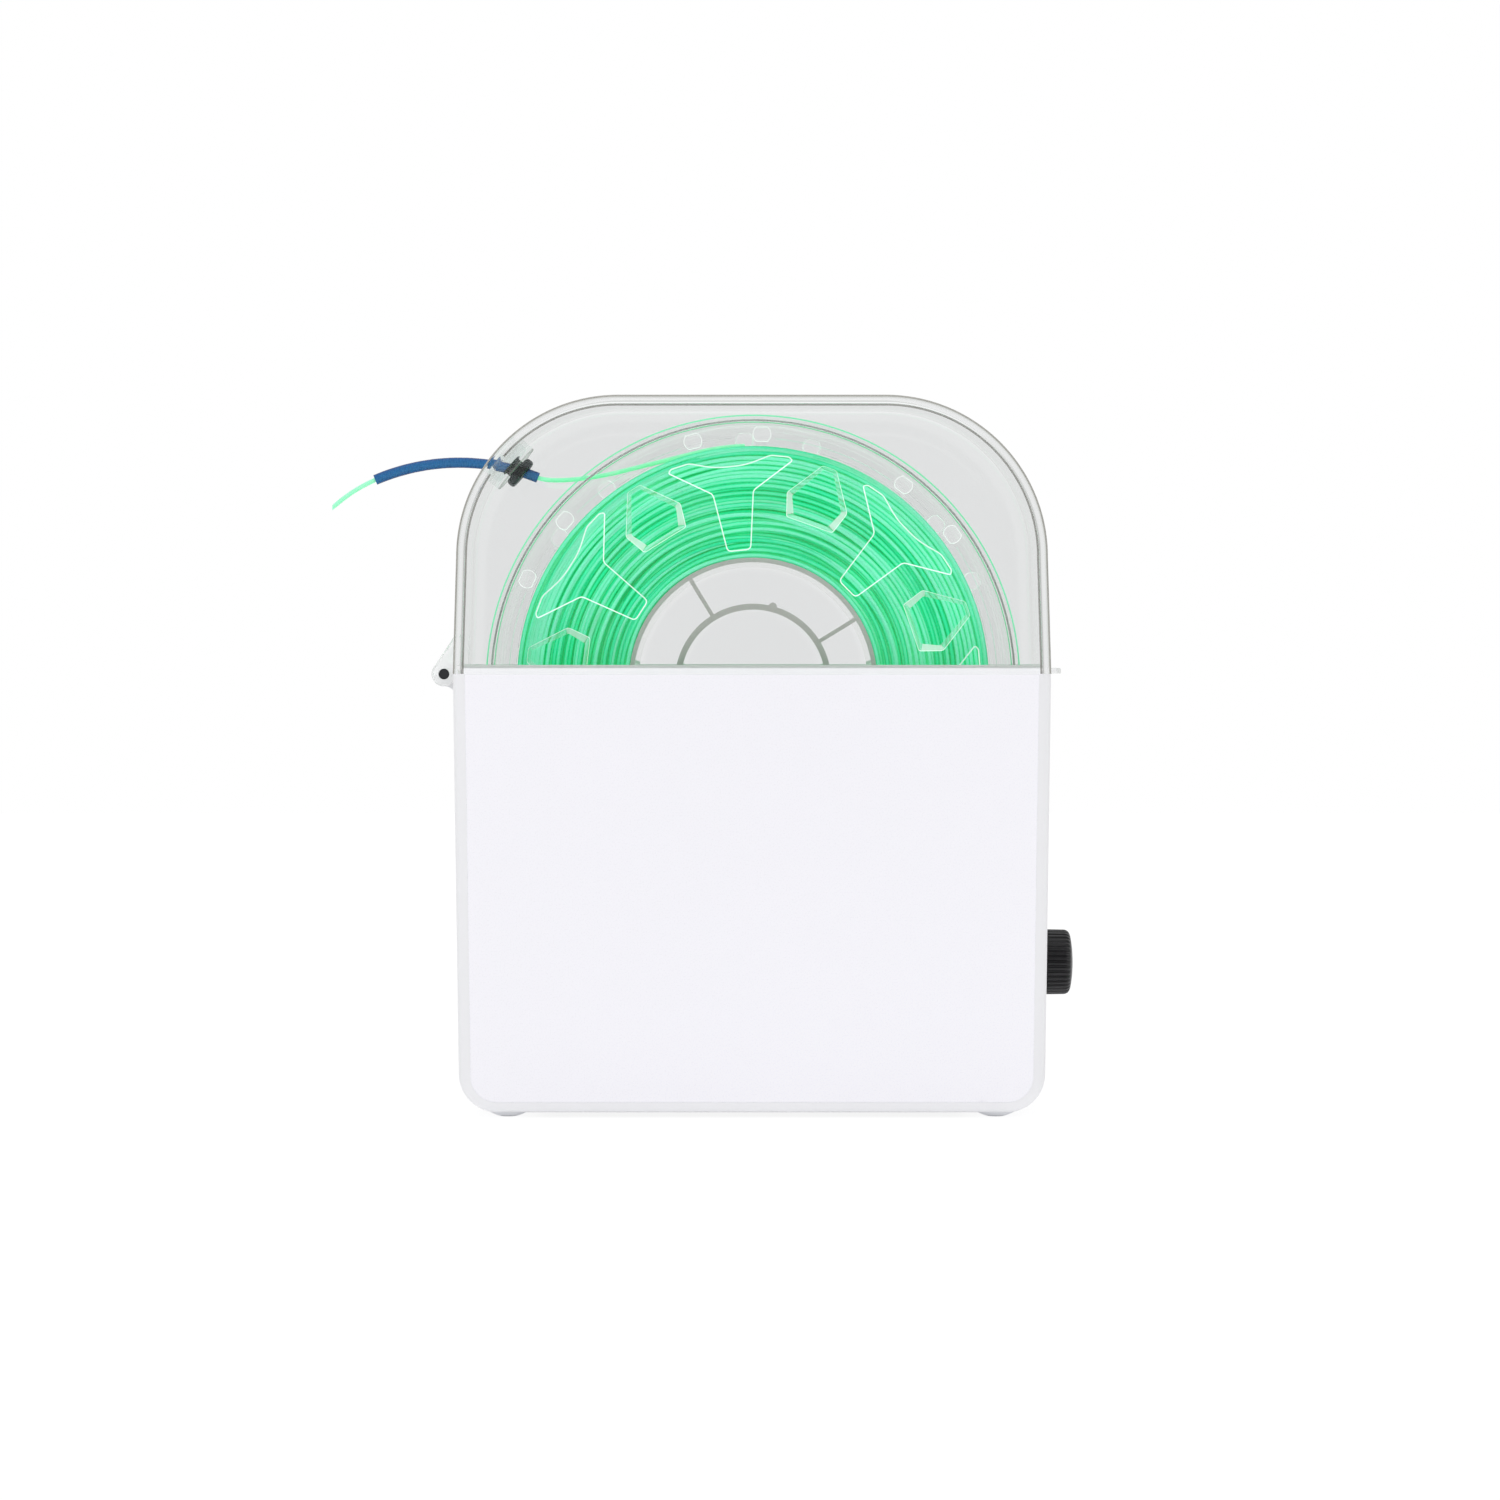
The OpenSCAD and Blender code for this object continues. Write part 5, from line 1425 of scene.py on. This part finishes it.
def add_fan_strand(shape, rng, i_fan, y_face, side, segments):
    """Strand of the last layer, fanning out towards where the loose end leaves."""
    phase = rng.uniform(0, 2 * math.pi)
    in_at, out_at = math.radians(104 + 5 * i_fan), 4.6
    path, tones = [], []
    for i in range(segments):
        a = 2 * math.pi * i / segments
        moved = soft_step((a - in_at) / 0.2) - soft_step((a - out_at) / 0.1)
        r = (WIND_R - 1.0 - 0.35 * i_fan - (3.0 + 0.6 * i_fan) * moved
             + 0.15 * math.sin(3 * a + phase))
        path.append((a, r, y_face - side * (0.1 + 0.15 * i_fan)))
        tones.append(0.72 + 0.1 * math.sin(2 * a + phase))
    strand_ring(shape, path, tones)


def make_side_strands(name, side, seed):
    """The turns seen through one flange, three layers deep."""
    rng = random.Random(seed)
    shape = Lofts()
    y_face = side * (SPOOL_W / 2 - FLANGE - 1.15)
    rows, segments = 24, 150
    pitch = (WIND_R - 1.0 - CORE_R - 1.0) / (rows - 1)
    for depth, shift in enumerate((0, 0.5, 0.1)):
        for row in range(rows):
            start_r = CORE_R + 1.0 + row * pitch + shift * pitch
            if start_r > WIND_R - 0.9:
                continue
            outer = row > rows - 5
            # some turns of the first layer are left out
            if depth == 0 and not outer and rng.random() < 0.16:
                continue
            add_row_strand(shape, rng, start_r, pitch, depth, outer, y_face, side, segments)
    for i_fan in range(5):
        add_fan_strand(shape, rng, i_fan, y_face, side, segments)
    ob = shape.make(name, WOUND, angle=80, merge=0)
    set_tones(ob, shape.tones)
    hand_over(ob, "spool")


def sleeve(inner_r, outer_r, half):
    return [(inner_r, -half), (outer_r, -half), (outer_r, half), (inner_r, half)]


def make_winding_core():
    """Dense core behind the visible turns, given the darkest tone as painted shade."""
    shape = Lofts()
    shape.revolve(sleeve(CORE_R + 0.03, WIND_R - 2.2, WIND_HALF - 3.4), SPOOL_AXIS, 160,
                  tone=0.02)
    ob = shape.make("winding_core", WOUND, angle=40, merge=0)
    set_tones(ob, shape.tones)
    hand_over(ob, "spool")
    return ob


def make_winding_outer():
    """Outermost layer: a wavering helix, with a sleeve just under it."""
    rng = random.Random(3)
    turns, segments = 31, 120
    total = turns * segments
    half = WIND_HALF - 0.9
    step = 2 * half / total
    # one waver and one tone for each half turn
    knots = 2 * turns + 3
    wavers = [rng.uniform(-0.35, 0.35) for _ in range(knots)]
    knot_tones = [min(1, max(0, rng.gauss(0.6, 0.14))) for _ in range(knots)]
    path, tones = [], []
    for i in range(total + 1):
        a = 2 * math.pi * i / segments
        t = 2 * i / segments
        k = int(t)
        f = t - k
        f = f * f * (3 - 2 * f)
        waver = wavers[k] * (1 - f) + wavers[k + 1] * f
        r = WIND_R - 0.9 - abs(waver) * 0.3
        path.append((SPOOL_X + r * math.cos(a), -half + step * i + waver * 0.7,
                     SPOOL_Z + r * math.sin(a)))
        tones.extend([knot_tones[k] * (1 - f) + knot_tones[k + 1] * f] * STRAND_SIDES)
    shape = Lofts()
    shape.tube(path, STRAND_R, STRAND_SIDES, tone=tones)
    shape.revolve(sleeve(WIND_R - 3.2, WIND_R - 1.5, half), SPOOL_AXIS, 160, tone=0.4)
    ob = shape.make("winding_outer", WOUND, angle=80, merge=0)
    set_tones(ob, shape.tones)
    hand_over(ob, "spool")


def make_winding():
    core = make_winding_core()
    make_winding_outer()
    make_side_strands("winding_front", -1, seed=11)
    make_side_strands("winding_rear", 1, seed=12)
    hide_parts("filament_winding")


def make_roller(name, node_name, body, side):
    """Two treads on one axle, each with a bearing seat in its bore."""
    profile = [(6.9, -5), (9.3, -5), (9.75, -4.85), (9.95, -4.5), (10.0, -4.0), (10.0, 4.0),
               (9.95, 4.5), (9.75, 4.85), (9.3, 5), (6.9, 5), (6.9, 2.6), (8.02, 2.6),
               (8.02, -2.55), (6.9, -2.55)]
    treads = Lofts()
    for y in (-ROLLER_Y, ROLLER_Y):
        treads.revolve([(r, y + h) for r, h in profile],
                       along_y(SPOOL_X + side * ROLLER_DX, ROLLER_Z), 72)
    hand_over(treads.make(name, TREAD, angle=40), body, replaces=node_name)


# ------------------------------------------------------------------ pieces kept from the CAD
CARRIED = {
    "base_cover": COVER, "cover_screws": SCREW, "chamber_floor": CHAMBER,
    "floor_screws": SCREW, "bay_cover": CHAMBER, "air_duct": DUCT, "duct_screws": SCREW,
    "fan_frame": FAN, "fan_rotor": ROTOR, "fan_screws": SCREW, "ptc_heater": FIN,
    "heater_terminals": BRASS, "control_board": BOARD, "board_screws": SCREW,
    "display_module": DARK, "encoder_body": NICKEL, "encoder_nut": NICKEL,
    "encoder_plunger": PLUNGER, "encoder_shaft": NICKEL, "dc_jack": JACK,
    "power_lead": LEAD_BLACK, "heater_lead": LEAD_RED, "fan_lead": LEAD_GREY,
    "sensor_lead": LEAD_GREY, "humidity_sensor": SENSOR, "hinge_pin": PIN,
    "roller_axle_left": AXLE, "roller_axle_right": AXLE, "bearing_outer_left": RACE,
    "bearing_outer_right": RACE, "bearing_inner_races": RACE, "bearing_balls": BALL,
    "axle_spacers": SPACER, "axle_clips": SCREW,
}
# bevel widths
SOFT_EDGE = {
    "base_cover": 0.3, "chamber_floor": 0.3, "bay_cover": 0.4, "air_duct": 0.3,
    "fan_frame": 0.3, "humidity_sensor": 0.3, "encoder_body": 0.12, "encoder_nut": 0.1,
    "dc_jack": 0.12, "axle_clips": 0.06, "display_module": 0.15,
}


def dress_carried():
    for name, material in CARRIED.items():
        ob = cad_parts[name]
        set_materials(ob, material)
        ob.data.polygons.foreach_set("material_index", [0] * len(ob.data.polygons))
        ob.modifiers.new("weld", "WELD").merge_threshold = 0.000002
        if name in SOFT_EDGE:
            bevel(ob, width=SOFT_EDGE[name], segments=2, angle=50)


# ------------------------------------------------------------------ stage, light, camera
def make_floor():
    """Bench that the camera sees mostly as bright white, with soft shadows."""
    material, tree, surface = new_material("floor")
    broad = noise(tree, 3.0, detail=2.0)
    matt = node(tree, "BsdfDiffuse", {
        "Color": two_tones(tree, broad, (0.93, 0.93, 0.935, 1), (0.95, 0.95, 0.955, 1))})
    bright = node(tree, "Emission", {"Color": grey(1), "Strength": 1.06})
    camera_ray = node(tree, "LightPath").outputs["Is Camera Ray"]
    bright_share = 0.84
    factor = math_node(tree, "MULTIPLY", camera_ray, bright_share)
    tree.links.new(mix_shader(tree, factor, matt.outputs[0], bright.outputs[0]), surface)
    half, z = 4000, -2.05
    corners = at_z(rectangle(-half, half, -half, half), z)
    build("floor", corners, [(0, 1, 2, 3)], material, merge=0)


def make_world():
    """Studio surround: dim at the sides, bright above; plain white to the camera."""
    world = bpy.data.worlds.new("studio")
    scene.world = world
    world.use_nodes = True
    tree = world.node_tree
    tree.nodes.clear()
    output = tree.nodes.new("ShaderNodeOutputWorld")
    direction = node(tree, "TexCoord").outputs["Generated"]
    axes = node(tree, "SeparateXYZ", {0: direction}).outputs
    sideways = math_node(tree, "ABSOLUTE", axes["X"])
    side = ramp(tree, sideways, [(0.0, (0.97, 0.97, 0.98, 1)), (0.5, (0.93, 0.93, 0.935, 1)),
                                 (0.75, (0.72, 0.72, 0.715, 1)), (1.0, (0.55, 0.55, 0.54, 1))])
    height = span(tree, axes["Z"], 0, 1, -1, 1)
    up = ramp(tree, height, [(0.0, (0.8, 0.8, 0.81, 1)), (0.5, grey(0.92)), (0.75, grey(1.02)),
                             (1.0, grey(1.1))])
    around = multiply_colours(tree, side, up, factor=1.0)
    # a little dimmer behind the object than in front of it
    depth = span(tree, axes["Y"], 0, 1, -1, 1)
    plain = ramp(tree, depth, [(0.0, grey(1.0)), (0.5, grey(0.98)), (0.75, grey(0.93)),
                               (1.0, grey(0.93))])
    # the studio in front is dim in reflections, so clear walls show what is behind them
    shiny = ramp(tree, depth, [(0.0, grey(0.22)), (0.3, grey(0.45)), (0.5, grey(0.98)),
                               (0.75, grey(0.93)), (1.0, grey(0.93))])
    path = node(tree, "LightPath").outputs
    pick = node(tree, "Mix", {"Factor": path["Is Glossy Ray"], "A": plain, "B": shiny},
                data_type="RGBA")
    colour = multiply_colours(tree, around, pick.outputs["Result"], factor=1.0)
    studio = node(tree, "Background", {"Color": colour, "Strength": 1.07})
    backdrop = node(tree, "Background", {"Color": grey(1), "Strength": 1.0})
    mixed = mix_shader(tree, path["Is Camera Ray"], studio.outputs[0], backdrop.outputs[0])
    tree.links.new(mixed, output.inputs[0])


def make_key_light():
    """Square light above the front, towards -X; it shows in no reflection."""
    place, target = Vector((-0.5, -0.6, 1.7)), Vector((0, 0, 0.15))
    light = bpy.data.lights.new("key", "AREA")
    light.shape = "SQUARE"
    light.size = 0.9
    light.energy = 2.2
    ob = bpy.data.objects.new("key", light)
    scene.collection.objects.link(ob)
    ob.location = place
    ob.rotation_mode = "QUATERNION"
    ob.rotation_quaternion = (target - place).to_track_quat("-Z", "Y")
    ob.visible_glossy = False
    ob.visible_transmission = False
    ob.visible_camera = False


def make_camera():
    """Long lens looking straight along +Y at the front."""
    distance, height = 2.181, 0.1743  # metres, from the front face and above z = 0
    camera = bpy.data.cameras.new("camera")
    camera.sensor_width = 36
    camera.sensor_fit = "AUTO"
    camera.lens = 139.1
    camera.shift_x = -0.001333333
    camera.shift_y = -0.06666667
    camera.clip_start, camera.clip_end = 0.05, 30
    ob = bpy.data.objects.new("camera", camera)
    scene.collection.objects.link(ob)
    ob.location = (0, -(distance + HALF_D * MM), height)
    ob.rotation_euler = (math.radians(90), 0, 0)
    scene.camera = ob


def set_render():
    scene.view_settings.view_transform = "Standard"
    scene.view_settings.look = "None"
    # many bounces, for light through several clear walls
    scene.cycles.max_bounces = 32
    scene.cycles.transmission_bounces = 24
    scene.cycles.transparent_max_bounces = 24
    scene.cycles.glossy_bounces = 10
    scene.cycles.diffuse_bounces = 4


make_body()
make_panel("panel_front", "side_panel_front", -1)
make_panel("panel_rear", "side_panel_rear", 1)
make_feet()
make_window()
make_readout()
make_knob()
make_seal()
make_lid()
make_feed_tube()
make_grommet()
make_free_strand()
make_tail()
make_spool_half("spool_front", "spool_half_front", -1)
make_spool_half("spool_rear", "spool_half_rear", 1)
make_winding()
make_roller("roller_tread_left", "roller_left", "left_rollers", -1)
make_roller("roller_tread_right", "roller_right", "right_rollers", 1)
dress_carried()
make_floor()
make_world()
make_key_light()
make_camera()
set_render()
